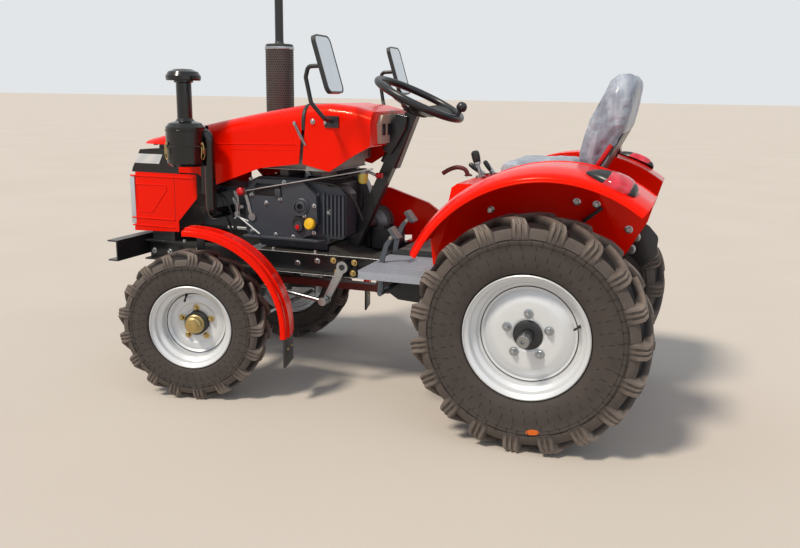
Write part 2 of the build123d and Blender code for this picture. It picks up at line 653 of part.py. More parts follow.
# Transmission: clutch housing and gearbox between the rails, with the rear axle tubes
BOX_HALF = 125
TRUMPET_R = 58
with BuildPart() as transmission:
    with BuildSketch(side(BOX_HALF)):
        with BuildLine():
            Polyline((-150, 318), (170, 318), (250, 372), (600, 392), (660, 430), (660, 560), (600, 600),
                     (300, 600), (180, 560), (-110, 560), (-150, 520), close=True)
        make_face()
    extrude(amount=2 * BOX_HALF)
    fillet(transmission.edges().filter_by(Axis.Y), 14)
    with BuildSketch(side(TRUMPET_END)):
        with Locations((0, REAR_AXLE_UP)):
            Circle(TRUMPET_R)
    extrude(amount=2 * TRUMPET_END)
    for left in (TRUMPET_END, 26 - TRUMPET_END):
        with BuildSketch(side(left)):
            with Locations((0, REAR_AXLE_UP)):
                Circle(80)
        extrude(amount=26)
    for left in (RAIL_TIP_Y - RAIL_FLANGE, -BOX_HALF + 5):
        with BuildSketch(side(left)):
            with Locations((310, 530)):
                Rectangle(70, 60)
        extrude(amount=RAIL_TIP_Y - RAIL_FLANGE - BOX_HALF + 5)
save(transmission.part, "transmission")

# Rear linkage: drawbar below the axle with its pin hole, the top-link lug and the drive shaft's end
DRAWBAR_UP = 270
DRAWBAR_HOLE = (-378, 11)
with BuildPart() as drawbar:
    with BuildSketch(level(DRAWBAR_UP)):
        with BuildLine():
            Polyline((-404, -26), (-404, 26), (-390, 40), (-140, 40), (-140, -40), (-390, -40),
                     close=True)
        make_face()
        with Locations((DRAWBAR_HOLE[0], 0)):
            Circle(DRAWBAR_HOLE[1], mode=Mode.SUBTRACT)
    extrude(amount=18)
    with BuildSketch(side(60)):
        with BuildLine():
            Polyline((-225, DRAWBAR_UP), (-40, DRAWBAR_UP), (-40, 318), (-150, 318), (-150, 410),
                     (-162, 410), (-225, 310), close=True)
        make_face()
    extrude(amount=120)

TOP_LINK_HOLE_R = 10
TOP_LINK_AT = (-196, 520)
with BuildPart() as top_link_lug:
    for left in (34, -22):
        with BuildSketch(side(left)):
            with BuildLine():
                Polyline((-150, 494), (-150, 548), (TOP_LINK_AT[0] - 4, 546), (TOP_LINK_AT[0] - 26, 530),
                         (TOP_LINK_AT[0] - 26, 510), (TOP_LINK_AT[0] - 4, 498), close=True)
            make_face()
            with Locations(TOP_LINK_AT):
                Circle(TOP_LINK_HOLE_R, mode=Mode.SUBTRACT)
        extrude(amount=12)
save(drawbar.part + top_link_lug.part, "rear_hitch")

PTO_R = 17.5
PTO_UP = 452
with BuildPart() as drive_stub:
    with BuildSketch(across(-150)):
        with Locations((0, PTO_UP)):
            Circle(PTO_R)
    extrude(amount=-92)
    with BuildSketch(across(-150)):
        with Locations((0, PTO_UP)):
            Circle(34)
    extrude(amount=-14)
save(drive_stub.part, "drive_stub")

# Rear fenders: rolled cover on a circle, a bent outer lip and an upright inner wall
FENDER_SPAN = (25, 127)
FENDER_WALL_BOTTOM = FOOTPLATE_TOP
FENDER_WALL_FRONT = 415
for name, way in SIDES:
    centre = Vector(*at(FENDER_CENTRE[0], 0, FENDER_CENTRE[1]))
    start = radians(FENDER_SPAN[0])
    radial = Vector(cos(start), 0, sin(start))
    section = Plane(origin=centre, x_dir=(0, way, 0), z_dir=Vector(0, way, 0).cross(radial))
    with BuildPart() as fender:
        with BuildSketch(section):
            with BuildLine():
                edge = FENDER_OUT - FENDER_EDGE_R
                Line((FENDER_IN, FENDER_R - SHEET), (FENDER_IN, FENDER_R))
                Line((FENDER_IN, FENDER_R), (edge, FENDER_R))
                CenterArc((edge, FENDER_R - FENDER_EDGE_R), FENDER_EDGE_R, 0, 90)
                Line((FENDER_OUT, FENDER_R - FENDER_EDGE_R), (FENDER_OUT, FENDER_R - FENDER_LIP))
                Line((FENDER_OUT, FENDER_R - FENDER_LIP), (FENDER_OUT - SHEET, FENDER_R - FENDER_LIP))
                Line((FENDER_OUT - SHEET, FENDER_R - FENDER_LIP),
                     (FENDER_OUT - SHEET, FENDER_R - FENDER_EDGE_R))
                CenterArc((edge, FENDER_R - FENDER_EDGE_R), FENDER_EDGE_R - SHEET, 0, 90)
                Line((edge, FENDER_R - SHEET), (FENDER_IN, FENDER_R - SHEET))
            make_face()
        revolve(axis=Axis(centre, Vector(0, way, 0)),
                revolution_arc=-way * (FENDER_SPAN[1] - FENDER_SPAN[0]))
        low = radians(FENDER_SPAN[1])
        rear_end = (FENDER_CENTRE[0] + (FENDER_R - SHEET / 2) * cos(low),
                    FENDER_CENTRE[1] + (FENDER_R - SHEET / 2) * sin(low))
        front_end = (FENDER_CENTRE[0] + (FENDER_R - SHEET / 2) * cos(start),
                     FENDER_CENTRE[1] + (FENDER_R - SHEET / 2) * sin(start))
        middle = (FENDER_CENTRE[0], FENDER_CENTRE[1] + FENDER_R - SHEET / 2)
        with BuildSketch(side(way * FENDER_IN)):
            with BuildLine():
                ThreePointArc(front_end, middle, rear_end)
                Polyline(rear_end, (-350, 790), (-286, 675), (-200, FENDER_WALL_BOTTOM),
                         (FENDER_WALL_FRONT, FENDER_WALL_BOTTOM), front_end)
            make_face()
        extrude(amount=-way * SHEET)
    save(fender.part, "fender_" + name)

# Deck between the fenders: it carries the seat, and its front slopes down to the gearbox
DECK_TOP = 888
with BuildPart() as deck:
    with BuildSketch(side(FENDER_IN)):
        with BuildLine():
            Polyline((-250, 610), (-250, 872), (-230, DECK_TOP), (330, DECK_TOP), (352, 872), (404, 612),
                     close=True)
        make_face()
    extrude(amount=2 * FENDER_IN)
    offset(amount=-SHEET, openings=deck.faces().sort_by(Axis.Z)[0])
save(deck.part, "seat_deck")

# Seat: pan on the deck, cushion and back
SEAT_HALF = 215
with BuildPart() as seat_pan:
    with BuildSketch(side(SEAT_HALF - 25)):
        with BuildLine():
            Polyline((-190, DECK_TOP), (150, DECK_TOP), (185, 905), (180, 918), (-110, 905),
                     (-158.3, 935.9), (-250.3, 1111.9), (-268, 1106), (-196, 925), close=True)
        make_face()
    extrude(amount=2 * SEAT_HALF - 50)
save(seat_pan.part, "seat_pan")
with BuildPart() as seat_cushion:
    with BuildSketch(side(SEAT_HALF)):
        with BuildLine():
            Polyline((192, 919), (200, 944), (186, 962), (-58, 966), (-98, 948), (-110, 905.3),
                     (180, 918.3), close=True)
        make_face()
    extrude(amount=2 * SEAT_HALF)
save(seat_cushion.part, "seat_cushion")
with BuildPart() as seat_back:
    with BuildSketch(side(SEAT_HALF)):
        with BuildLine():
            Polyline((-112, 952), (-86, 976), (-128, 1120), (-226, 1296), (-258, 1302), (-272, 1280),
                     (-250, 1112), (-158, 936), close=True)
        make_face()
    extrude(amount=2 * SEAT_HALF)
save(seat_back.part, "seat_back")

# Tail lamps on the rear slope of each fender: black housing and red lens
LAMP_ANGLE = 111
LAMP_LEFT = 455
LAMP_H = 24
lamp_turn = radians(LAMP_ANGLE)
lamp_out = Vector(cos(lamp_turn), 0, sin(lamp_turn))
with BuildPart() as tail_lamps:
    for name, way in SIDES:
        seat_at = Vector(*at(FENDER_CENTRE[0], way * LAMP_LEFT, FENDER_CENTRE[1]))
        with BuildSketch(Plane(origin=seat_at + lamp_out * (FENDER_R + GAP), x_dir=(0, 1, 0),
                               z_dir=lamp_out)):
            RectangleRounded(92, 172, 14)
        extrude(amount=LAMP_H)
        with BuildSketch(Plane(origin=seat_at + lamp_out * (FENDER_R + 3), x_dir=(0, 1, 0),
                               z_dir=lamp_out)):
            RectangleRounded(80, 160, 10)
        extrude(amount=LAMP_H, mode=Mode.SUBTRACT)
save(tail_lamps.part, "tail_lamp_housings")
with BuildPart() as tail_lenses:
    for name, way in SIDES:
        seat_at = Vector(*at(FENDER_CENTRE[0], way * LAMP_LEFT, FENDER_CENTRE[1]))
        with BuildSketch(Plane(origin=seat_at + lamp_out * (FENDER_R + 3), x_dir=(0, 1, 0),
                               z_dir=lamp_out)):
            RectangleRounded(80, 160, 10)
        extrude(amount=LAMP_H + 2, taper=4)
save(tail_lenses.part, "tail_lamp_lenses")

# Footplates: level plates with a bent-down outer edge, on brackets from the rails and gearbox
PEDAL_SLOT = (585, 629)
CLUTCH_Y, BRAKE_Y = 292, 98
with BuildPart() as footplates:
    for name, way in SIDES:
        with BuildSketch(level(FOOTPLATE_TOP - SHEET)):
            with BuildLine():
                Polyline((FOOTPLATE_REAR, way * 130), (FOOTPLATE_REAR, way * FOOTPLATE_OUT),
                         (FOOTPLATE_FRONT - 8, way * FOOTPLATE_OUT),
                         (FOOTPLATE_FRONT, way * (FOOTPLATE_OUT - 16)),
                         (FOOTPLATE_FRONT, way * 130), close=True)
            make_face()
        extrude(amount=SHEET)
        with BuildSketch(side(way * FOOTPLATE_OUT)):
            with BuildLine():
                Polyline((FOOTPLATE_REAR, FOOTPLATE_TOP), (FOOTPLATE_FRONT - 8, FOOTPLATE_TOP),
                         (FOOTPLATE_FRONT - 8, FOOTPLATE_TOP - 28), (FOOTPLATE_REAR, FOOTPLATE_TOP - 28),
                         close=True)
            make_face()
        extrude(amount=way * SHEET)
        for ahead in (FOOTPLATE_REAR + 18, FOOTPLATE_FRONT - 100):
            with BuildSketch(across(ahead)):
                with BuildLine():
                    Polyline((way * RAIL_TIP_Y, FOOTPLATE_TOP - SHEET),
                             (way * (FOOTPLATE_OUT - 40), FOOTPLATE_TOP - SHEET),
                             (way * (FOOTPLATE_OUT - 60), FOOTPLATE_TOP - 34),
                             (way * RAIL_TIP_Y, RAIL_BOTTOM + 10), close=True)
                make_face()
            extrude(amount=6)
    with BuildSketch(level(FOOTPLATE_TOP - SHEET)):
        with Locations(((PEDAL_SLOT[0] + PEDAL_SLOT[1]) / 2, CLUTCH_Y)):
            Rectangle(PEDAL_SLOT[1] - PEDAL_SLOT[0], 24)
    extrude(amount=SHEET, mode=Mode.SUBTRACT)
save(footplates.part, "footplates")

# Pedals: two sickle arms on a cross shaft under the left plate
PEDAL_SHAFT = (612, 455)
PEDAL_T = 10
with BuildPart() as pedals:
    with BuildSketch(side(CLUTCH_Y + 12)):
        with Locations(PEDAL_SHAFT):
            Circle(10)
    extrude(amount=CLUTCH_Y - BOX_HALF + 12)
    with BuildSketch(side(CLUTCH_Y + PEDAL_T / 2)):
        with BuildLine():
            Polyline((PEDAL_SHAFT[0] - 10, PEDAL_SHAFT[1]), (PEDAL_SHAFT[0] + 12, PEDAL_SHAFT[1]),
                     (616, 590), (598, 650), (562, 700), (551, 692), (583, 640), (598, 585), close=True)
        make_face()
    extrude(amount=PEDAL_T)
    with BuildSketch(Plane(origin=at(560, CLUTCH_Y, 690), x_dir=(0, 1, 0), z_dir=(-0.78, 0, 0.62))):
        RectangleRounded(64, 54, 8)
    extrude(amount=10)
    with BuildSketch(side(BRAKE_Y + PEDAL_T / 2)):
        with BuildLine():
            Polyline((614, 590.8), (634, 577.5), (626, 650), (600, 700), (566, 738), (556, 730), (586, 690),
                     (604, 645), close=True)
        make_face()
    extrude(amount=PEDAL_T)
    with BuildSketch(Plane(origin=at(564, BRAKE_Y, 728), x_dir=(0, 1, 0), z_dir=(-0.78, 0, 0.62))):
        RectangleRounded(64, 54, 8)
    extrude(amount=10)
save(pedals.part, "pedals")

# Engine: horizontal single-cylinder diesel between the rails, cylinder to the front
ENGINE_BASE = 602
CASE_TOP = 866
CASE_REAR = 890
RIB_FACE = 818
with BuildPart() as engine:
    with BuildSketch(side(ENGINE_LEFT)):
        with BuildLine():
            Polyline((CASE_REAR, 620), (CASE_REAR, 838), (960, CASE_TOP), (1210, CASE_TOP),
                     (1262, 842), (1262, 640), (1240, ENGINE_BASE), (900, ENGINE_BASE), close=True)
        make_face()
    extrude(amount=ENGINE_LEFT - ENGINE_RIGHT)
    with BuildSketch(side(112)):
        with Locations((1381, 726)):
            Rectangle(238, 172)
    extrude(amount=224)
    with BuildSketch(side(ENGINE_LEFT)):
        with BuildLine():
            Polyline((RIB_FACE, 640), (RIB_FACE, 806), (850, 838), (CASE_REAR, 838), (CASE_REAR, 625),
                     (836, 625), close=True)
        make_face()
    extrude(amount=ENGINE_LEFT - 45)
    with BuildSketch(side(ENGINE_LEFT)):
        with Locations((870, 722)):
            with GridLocations(17, 10, 6, 1):
                Rectangle(8, 165)
    extrude(amount=-12)
    for left in (ENGINE_LEFT - 20, ENGINE_RIGHT + 50):
        with BuildSketch(side(left)):
            with Locations((1065, (ENGINE_BASE + RAIL_TOP) / 2)):
                Rectangle(310, ENGINE_BASE - RAIL_TOP)
        extrude(amount=30)
save(engine.part, "engine")

# Gear-case cover on the left of the engine, with its crank boss, recess and filler
COVER_T = 34
with BuildPart() as gear_cover:
    with BuildSketch(side(ENGINE_LEFT)):
        with BuildLine():
            Polyline((1258, 640), (1255, 812), (1205, 858), (1000, 861), (935, 800), (930, 690),
                     (960, 640), (1034, 613), (1236, 618), close=True)
        make_face()
    extrude(amount=-COVER_T)
    with BuildSketch(side(ENGINE_LEFT + COVER_T)):
        with Locations(CRANK):
            Circle(34)
    extrude(amount=-12)
    with BuildSketch(side(ENGINE_LEFT + COVER_T + 12)):
        with Locations(CRANK):
            Circle(22)
    extrude(amount=16, mode=Mode.SUBTRACT)
    with BuildSketch(side(ENGINE_LEFT + COVER_T)):
        with Locations((1150, 816)):
            RectangleRounded(118, 50, 8)
    extrude(amount=14, mode=Mode.SUBTRACT)
    with BuildSketch(side(ENGINE_LEFT + COVER_T)):
        with Locations((1010, 676)):
            Circle(20)
        with Locations((956, 690)):
            Circle(17)
    extrude(amount=-16)
save(gear_cover.part, "gear_cover")

# Flywheel with its belt pulley on the right, and the ribbed clutch pulley on its own shaft
FLYWHEEL_R = 172
FLYWHEEL_T = 46
DRIVE_R = 62
CLUTCH_R = 76
GROOVE = 10
BELT_T = 14
BELT_STARTS = (6, 26)
PULLEY_T = 46
flywheel_centre = Vector(*at(CRANK[0], ENGINE_RIGHT, CRANK[1]))
clutch_centre = Vector(*at(CLUTCH_SHAFT[0], ENGINE_RIGHT, CLUTCH_SHAFT[1]))


def pulley_steps(radius):
    """Grooved edge of a pulley that starts outside the flywheel, from its inner to its outer face."""
    steps = [(FLYWHEEL_T, radius)]
    for first in BELT_STARTS:
        low = FLYWHEEL_T + first
        steps += [(low, radius), (low, radius - GROOVE), (low + BELT_T, radius - GROOVE),
                  (low + BELT_T, radius)]
    return steps + [(FLYWHEEL_T + PULLEY_T, radius)]


with BuildPart() as belt_pulleys:
    with BuildSketch(Plane(origin=flywheel_centre, x_dir=(0, -1, 0), z_dir=(-1, 0, 0))):
        with BuildLine():
            Polyline((0, 0), (0, 60), (12, 64), (12, FLYWHEEL_R - 34), (4, FLYWHEEL_R - 28),
                     (4, FLYWHEEL_R), (FLYWHEEL_T, FLYWHEEL_R), (FLYWHEEL_T, FLYWHEEL_R - 28),
                     (30, FLYWHEEL_R - 34), (30, DRIVE_R), *pulley_steps(DRIVE_R),
                     (FLYWHEEL_T + PULLEY_T, 0), close=True)
        make_face()
    revolve(axis=Axis(flywheel_centre, Vector(0, 1, 0)))
    with BuildSketch(Plane(origin=clutch_centre, x_dir=(0, -1, 0), z_dir=(-1, 0, 0))):
        with BuildLine():
            Polyline((-70, 0), (-70, CLUTCH_SHAFT_R), (FLYWHEEL_T - 10, CLUTCH_SHAFT_R),
                     (FLYWHEEL_T - 10, 24), (FLYWHEEL_T + 2, 60), (FLYWHEEL_T + 2, CLUTCH_R),
                     *pulley_steps(CLUTCH_R)[1:], (FLYWHEEL_T + PULLEY_T, 0), close=True)
        make_face()
    revolve(axis=Axis(clutch_centre, Vector(0, 1, 0)))
save(belt_pulleys.part, "belt_pulleys")


def belt_points(inset):
    """Tangent points and far points of a belt round both pulleys, by its height in the grooves."""
    radius_a, radius_b = DRIVE_R - inset, CLUTCH_R - inset
    run_x, run_z = CLUTCH_SHAFT[0] - CRANK[0], CLUTCH_SHAFT[1] - CRANK[1]
    heading = atan2(run_z, run_x)
    spread = pi / 2 + asin((radius_b - radius_a) / hypot(run_x, run_z))
    points = []
    for centre, radius, turns in ((CRANK, radius_a, (heading - spread, heading + pi, heading + spread)),
                                  (CLUTCH_SHAFT, radius_b, (heading + spread, heading, heading - spread))):
        points += [(centre[0] + radius * cos(turn), centre[1] + radius * sin(turn)) for turn in turns]
    return points


with BuildPart() as drive_belts:
    for first in BELT_STARTS:
        for inset, keep in ((0, Mode.ADD), (GROOVE, Mode.SUBTRACT)):
            round_a, far_a, leave_a, round_b, far_b, leave_b = belt_points(inset)
            with BuildSketch(side(ENGINE_RIGHT - FLYWHEEL_T - first - 1)):
                with BuildLine():
                    ThreePointArc(round_a, far_a, leave_a)
                    Line(leave_a, round_b)
                    ThreePointArc(round_b, far_b, leave_b)
                    Line(leave_b, round_a)
                make_face()
            extrude(amount=BELT_T - 2, mode=keep)
save(drive_belts.part, "drive_belts")

# Belt guard: red plate outside the belts with a top flange that slopes to the rear, on two stays
GUARD_LEFT = -268
GUARD_TOP = [(548, 706), (600, 742), (780, 800), (930, 806), (1130, 800), (1180, 760)]
with BuildPart() as belt_guard:
    with BuildSketch(side(GUARD_LEFT)):
        with BuildLine():
            Polyline(*GUARD_TOP, (1180, 650), (1120, 600), (860, 586), (700, 590), (600, 600), (548, 612),
                     close=True)
        make_face()
    extrude(amount=SHEET)
    with BuildSketch(side(GUARD_LEFT)):
        with BuildLine():
            Polyline(*GUARD_TOP, (1176, 757), (1128, 796), (930, 802), (781, 796), (602, 738), (551, 703),
                     close=True)
        make_face()
    extrude(amount=-14)
    for ahead in (640, 1150):
        with BuildSketch(side(GUARD_LEFT)):
            with BuildLine():
                Polyline((ahead, RAIL_TOP - 16), (ahead + 36, RAIL_TOP - 16), (ahead + 36, 630),
                         (ahead, 630), close=True)
            make_face()
        extrude(amount=-6)
        with BuildSketch(level(RAIL_TOP)):
            with BuildLine():
                Polyline((ahead, GUARD_LEFT), (ahead + 36, GUARD_LEFT), (ahead + 36, 30 - RAIL_TIP_Y),
                         (ahead, 30 - RAIL_TIP_Y), close=True)
            make_face()
        extrude(amount=6)
save(belt_guard.part, "belt_guard")

# Exhaust on the right: elbow from the head, muffler barrel with its shield, and tail pipe
MUFFLER = (1345, -304)
MUFFLER_R = 56
MUFFLER_SPAN = (975, 1425)
PIPE_R = 19
PIPE_TOP = 1690
HEAD_HALF = 112
PORT_UP = 742
SHIELD_R = 63
with BuildPart() as exhaust:
    with BuildLine() as elbow:
        FilletPolyline(at(MUFFLER[0], -HEAD_HALF, PORT_UP), at(MUFFLER[0], MUFFLER[1], PORT_UP),
                       at(MUFFLER[0], MUFFLER[1], MUFFLER_SPAN[0] + 1), radius=60)
    with BuildSketch(Plane(origin=at(MUFFLER[0], -HEAD_HALF, PORT_UP), z_dir=(0, -1, 0))):
        Circle(24)
    sweep(path=elbow.line)
    muffler_base = Vector(*at(MUFFLER[0], MUFFLER[1], 0))
    with BuildSketch(Plane(origin=muffler_base, x_dir=(1, 0, 0), z_dir=(0, -1, 0))):
        with BuildLine():
            low, top = MUFFLER_SPAN
            Polyline((0, low), (30, low), (MUFFLER_R, low + 14), (MUFFLER_R, low + 30), (SHIELD_R, low + 30),
                     (SHIELD_R, top - 8), (SHIELD_R - 4, top - 4), (MUFFLER_R - 2, top - 8),
                     (PIPE_R + 3, top), (PIPE_R, top + 8), (PIPE_R, PIPE_TOP), (PIPE_R - 3, PIPE_TOP),
                     (PIPE_R - 3, PIPE_TOP - 60), (0, PIPE_TOP - 60), close=True)
        make_face()
    revolve(axis=Axis(muffler_base, Vector(0, 0, 1)))
save(exhaust.part, "exhaust")

# Air cleaner on the left: canister, stack with a mushroom cap, bracket to the engine, and hose
CLEANER = (1440, 325)
CLEANER_R = 80
CLEANER_SPAN = (912, 1082)
STACK_R = 30
CAP_R = 68
BRACKET_LEFT = 243
BRACKET_LOW = 790
HOSE_R = 22
with BuildPart() as air_cleaner:
    cleaner_base = Vector(*at(CLEANER[0], CLEANER[1], 0))
    with BuildSketch(Plane(origin=cleaner_base, x_dir=(1, 0, 0), z_dir=(0, -1, 0))):
        with BuildLine():
            Polyline((0, CLEANER_SPAN[0]), (CLEANER_R - 14, CLEANER_SPAN[0]), (CLEANER_R - 4, 924),
                     (CLEANER_R - 4, 984), (CLEANER_R + 3, 984), (CLEANER_R + 3, 998),
                     (CLEANER_R - 2, 998), (CLEANER_R - 2, CLEANER_SPAN[1] - 16),
                     (CLEANER_R - 16, CLEANER_SPAN[1]), (STACK_R + 8, CLEANER_SPAN[1] + 8), (STACK_R, 1100),
                     (STACK_R, 1236), (STACK_R + 8, 1240), (STACK_R + 8, 1246), (CAP_R - 3, 1246),
                     (CAP_R, 1252), (CAP_R, 1264), (CAP_R - 10, 1280), (CAP_R - 34, 1290), (0, 1292),
                     close=True)
        make_face()
    revolve(axis=Axis(cleaner_base, Vector(0, 0, 1)))
    with BuildSketch(side(BRACKET_LEFT)):
        with Locations((1410, (BRACKET_LOW + 1070) / 2)):
            Rectangle(40, 1070 - BRACKET_LOW)
    extrude(amount=6)
    with BuildSketch(side(262)):
        with Locations((1410, 1030)):
            Rectangle(30, 40)
    extrude(amount=262 - BRACKET_LEFT)
    with BuildSketch(level(BRACKET_LOW)):
        with Locations((1410, (BRACKET_LEFT + HEAD_HALF) / 2)):
            Rectangle(40, BRACKET_LEFT - HEAD_HALF)
    extrude(amount=6)
    with BuildLine() as route:
        FilletPolyline(at(1390, 300, 1040), at(1352, 296, 1040), at(1352, 296, 716),
                       at(1352, HEAD_HALF, 716), radius=26)
    with BuildSketch(Plane(origin=at(1390, 300, 1040), z_dir=Vector(-38, -4, 0))):
        Circle(HOSE_R)
    sweep(path=route.line)
save(air_cleaner.part, "air_cleaner")

# Radiator on a cross block over the rails
SUPPORT = (1590, 1700)
NOSE_FLOOR = 615
FLOOR_T = 4
with BuildPart() as radiator:
    with BuildSketch(level(RAIL_TOP)):
        with Locations(((SUPPORT[0] + SUPPORT[1]) / 2, 0)):
            Rectangle(SUPPORT[1] - SUPPORT[0], 2 * (RAIL_TIP_Y - 10))
    extrude(amount=NOSE_FLOOR - RAIL_TOP)
    with BuildSketch(level(NOSE_FLOOR)):
        with Locations((1640, 0)):
            Rectangle(72, 340)
    extrude(amount=240)
save(radiator.part, "radiator")

# Nose panel: red sides and floor that taper to the front, with the grille's opening
NOSE_TOP = 866
NOSE_REAR = 1462
NOSE_SIDE = [(1776, NOSE_TOP), (NOSE_REAR, NOSE_TOP), (NOSE_REAR, 768), (1556, 666), (1556, 620),
             (1793, 611)]
NOSE_CORNER_R = 22
GRILLE_HALF = 176
GRILLE_SPAN = (640, 846)
with BuildPart() as nose_panel:
    with BuildSketch(side(HOOD_HALF)):
        with BuildLine():
            Polyline(*NOSE_SIDE, close=True)
        make_face()
    extrude(amount=2 * HOOD_HALF)
    front_face = nose_panel.faces().sort_by(Axis.X)[-1]
    fillet([edge for edge in front_face.edges() if abs(edge.center().Y) > HOOD_HALF - 1], NOSE_CORNER_R)
    with BuildSketch(side(HOOD_HALF - SHEET)):
        with BuildLine():
            Polyline((1776 - 6, NOSE_TOP + 1), (NOSE_REAR - 1, NOSE_TOP + 1), (NOSE_REAR - 1, 760),
                     (1548, NOSE_FLOOR + FLOOR_T), (1793 - 6, NOSE_FLOOR + FLOOR_T), close=True)
        make_face()
    extrude(amount=2 * (HOOD_HALF - SHEET), mode=Mode.SUBTRACT)
    with BuildSketch(side(HOOD_HALF - SHEET)):
        with BuildLine():
            Polyline((1500, 600), (1780, 600), (1780, NOSE_FLOOR), (1500, NOSE_FLOOR), close=True)
        make_face()
    extrude(amount=2 * (HOOD_HALF - SHEET), mode=Mode.SUBTRACT)
    with BuildSketch(across(1700)):
        with Locations((0, sum(GRILLE_SPAN) / 2)):
            Rectangle(2 * GRILLE_HALF, GRILLE_SPAN[1] - GRILLE_SPAN[0])
    extrude(amount=120, mode=Mode.SUBTRACT)
    with BuildSketch(level(NOSE_FLOOR - 1)):
        with Locations((1640, 0)):
            Rectangle(72, 340)
    extrude(amount=FLOOR_T + 2, mode=Mode.SUBTRACT)
save(nose_panel.part, "nose_panel")

# Grille: slotted plate in the nose's opening
GRILLE_T = 8
slope = atan2(17, 253)
grille_middle = at((1776 + 1793) / 2 - 12, 0, sum(GRILLE_SPAN) / 2 - 4)
with BuildPart() as grille:
    with BuildSketch(Plane(origin=grille_middle, x_dir=(0, 1, 0), z_dir=(cos(slope), 0, sin(slope)))):
        Rectangle(2 * GRILLE_HALF, GRILLE_SPAN[1] - GRILLE_SPAN[0] - 10)
        with GridLocations(0, 22, 1, 8):
            Rectangle(2 * GRILLE_HALF - 40, 9, mode=Mode.SUBTRACT)
    extrude(amount=GRILLE_T)
save(grille.part, "grille")

# Headlamp band: black shell between nose and hood with the hood's hinge lugs, and its clear lamps
BAND_REAR = 1551
BAND_OUTER = [(BAND_REAR, NOSE_TOP), (1782, NOSE_TOP), (1778, 882), (1736, 962), (1690, 966),
              (BAND_REAR, 976)]
BAND_INNER = [(BAND_REAR - 1, NOSE_TOP - 1), (1760, NOSE_TOP - 1), (1756, 882), (1720, 952),
              (1690, 961), (BAND_REAR - 1, 971)]
BAND_HALF = 228
LAMP_BAND = (1624, 904, 944)
LENS_T = 8
HINGE_R = 5
LUG_LEFT = 120
with BuildPart() as lens_block:
    with BuildSketch(side(BAND_HALF)):
        with BuildLine():
            Polyline(*BAND_OUTER, close=True)
        make_face()
    extrude(amount=2 * BAND_HALF)
    with BuildSketch(side(BAND_HALF - LENS_T)):
        with BuildLine():
            Polyline(*[(ahead - LENS_T, up) for ahead, up in BAND_OUTER], close=True)
        make_face()
    extrude(amount=2 * (BAND_HALF - LENS_T), mode=Mode.SUBTRACT)
    with BuildSketch(side(BAND_HALF + 10)):
        with BuildLine():
            Polyline((LAMP_BAND[0], LAMP_BAND[2]), (LAMP_BAND[0] + 20, LAMP_BAND[1]),
                     (1800, LAMP_BAND[1]), (1800, LAMP_BAND[2]), close=True)
        make_face()
    extrude(amount=2 * BAND_HALF + 20, mode=Mode.INTERSECT)
    with BuildSketch(level(LAMP_BAND[1] - 5)):
        with Locations((1700, 0)):
            Rectangle(300, 150)
    extrude(amount=60, mode=Mode.SUBTRACT)
save(lens_block.part, "headlamp_lenses")
with BuildPart() as band:
    with BuildSketch(side(BAND_HALF)):
        with BuildLine():
            Polyline(*BAND_OUTER, close=True)
        make_face()
    extrude(amount=2 * BAND_HALF)
    with BuildSketch(side(BAND_HALF - 12)):
        with BuildLine():
            Polyline(*BAND_INNER, close=True)
        make_face()
    extrude(amount=2 * (BAND_HALF - 12), mode=Mode.SUBTRACT)
    for way in (1, -1):
        with BuildSketch(side(way * LUG_LEFT + 5)):
            with BuildLine():
                Polyline((HOOD_HINGE[0] - 14, 960), (HOOD_HINGE[0] + 14, 960), (HOOD_HINGE[0] + 9, 986),
                         (HOOD_HINGE[0], 993), (HOOD_HINGE[0] - 9, 986), close=True)
            make_face()
            with Locations(HOOD_HINGE):
                Circle(HINGE_R + FIT, mode=Mode.SUBTRACT)
        extrude(amount=10)
save(band.part - lens_block.part, "headlamp_band")

# Hood: one shell with a rounded top, open below, that turns on a pin between the lugs
HOOD_REAR = ((963, 1163), (984, 931))
HOOD_LOW = [(984, 931), (1161, 907), (1397, 819), (1452, 872), (1545, 872), (1545, 986), (1717, 986)]
HOOD_FRONT = (1721, 1001)
TOP_RISE = 9
HOOD_FLOOR = 780


def hood_block(inset):
    """Tall solid under the hood's top line with its rounded shoulders, smaller by the inset."""
    slope_x, slope_z = HOOD_FRONT[0] - HOOD_REAR[0][0], HOOD_FRONT[1] - HOOD_REAR[0][1]
    length = hypot(slope_x, slope_z)
    middle = ((HOOD_FRONT[0] + HOOD_REAR[0][0]) / 2 - slope_z / length * (TOP_RISE - inset),
              (HOOD_FRONT[1] + HOOD_REAR[0][1]) / 2 + slope_x / length * (TOP_RISE - inset))
    front = (HOOD_FRONT[0] - inset, HOOD_FRONT[1] - inset)
    rear = (HOOD_REAR[0][0] - inset, HOOD_REAR[0][1] - inset)
    with BuildPart() as block:
        with BuildSketch(side(HOOD_HALF - inset)):
            with BuildLine():
                ThreePointArc(front, middle, rear)
                Polyline(rear, (HOOD_REAR[1][0] + 20 - inset, HOOD_FLOOR),
                         (HOOD_FRONT[0] - 20 - inset, HOOD_FLOOR), front)
            make_face()
        extrude(amount=2 * (HOOD_HALF - inset))
        top = block.faces().sort_by(Axis.Z)[-1]
        fillet([edge for edge in top.edges() if edge.length > 500], HOOD_SHOULDER_R - inset)
    return block.part


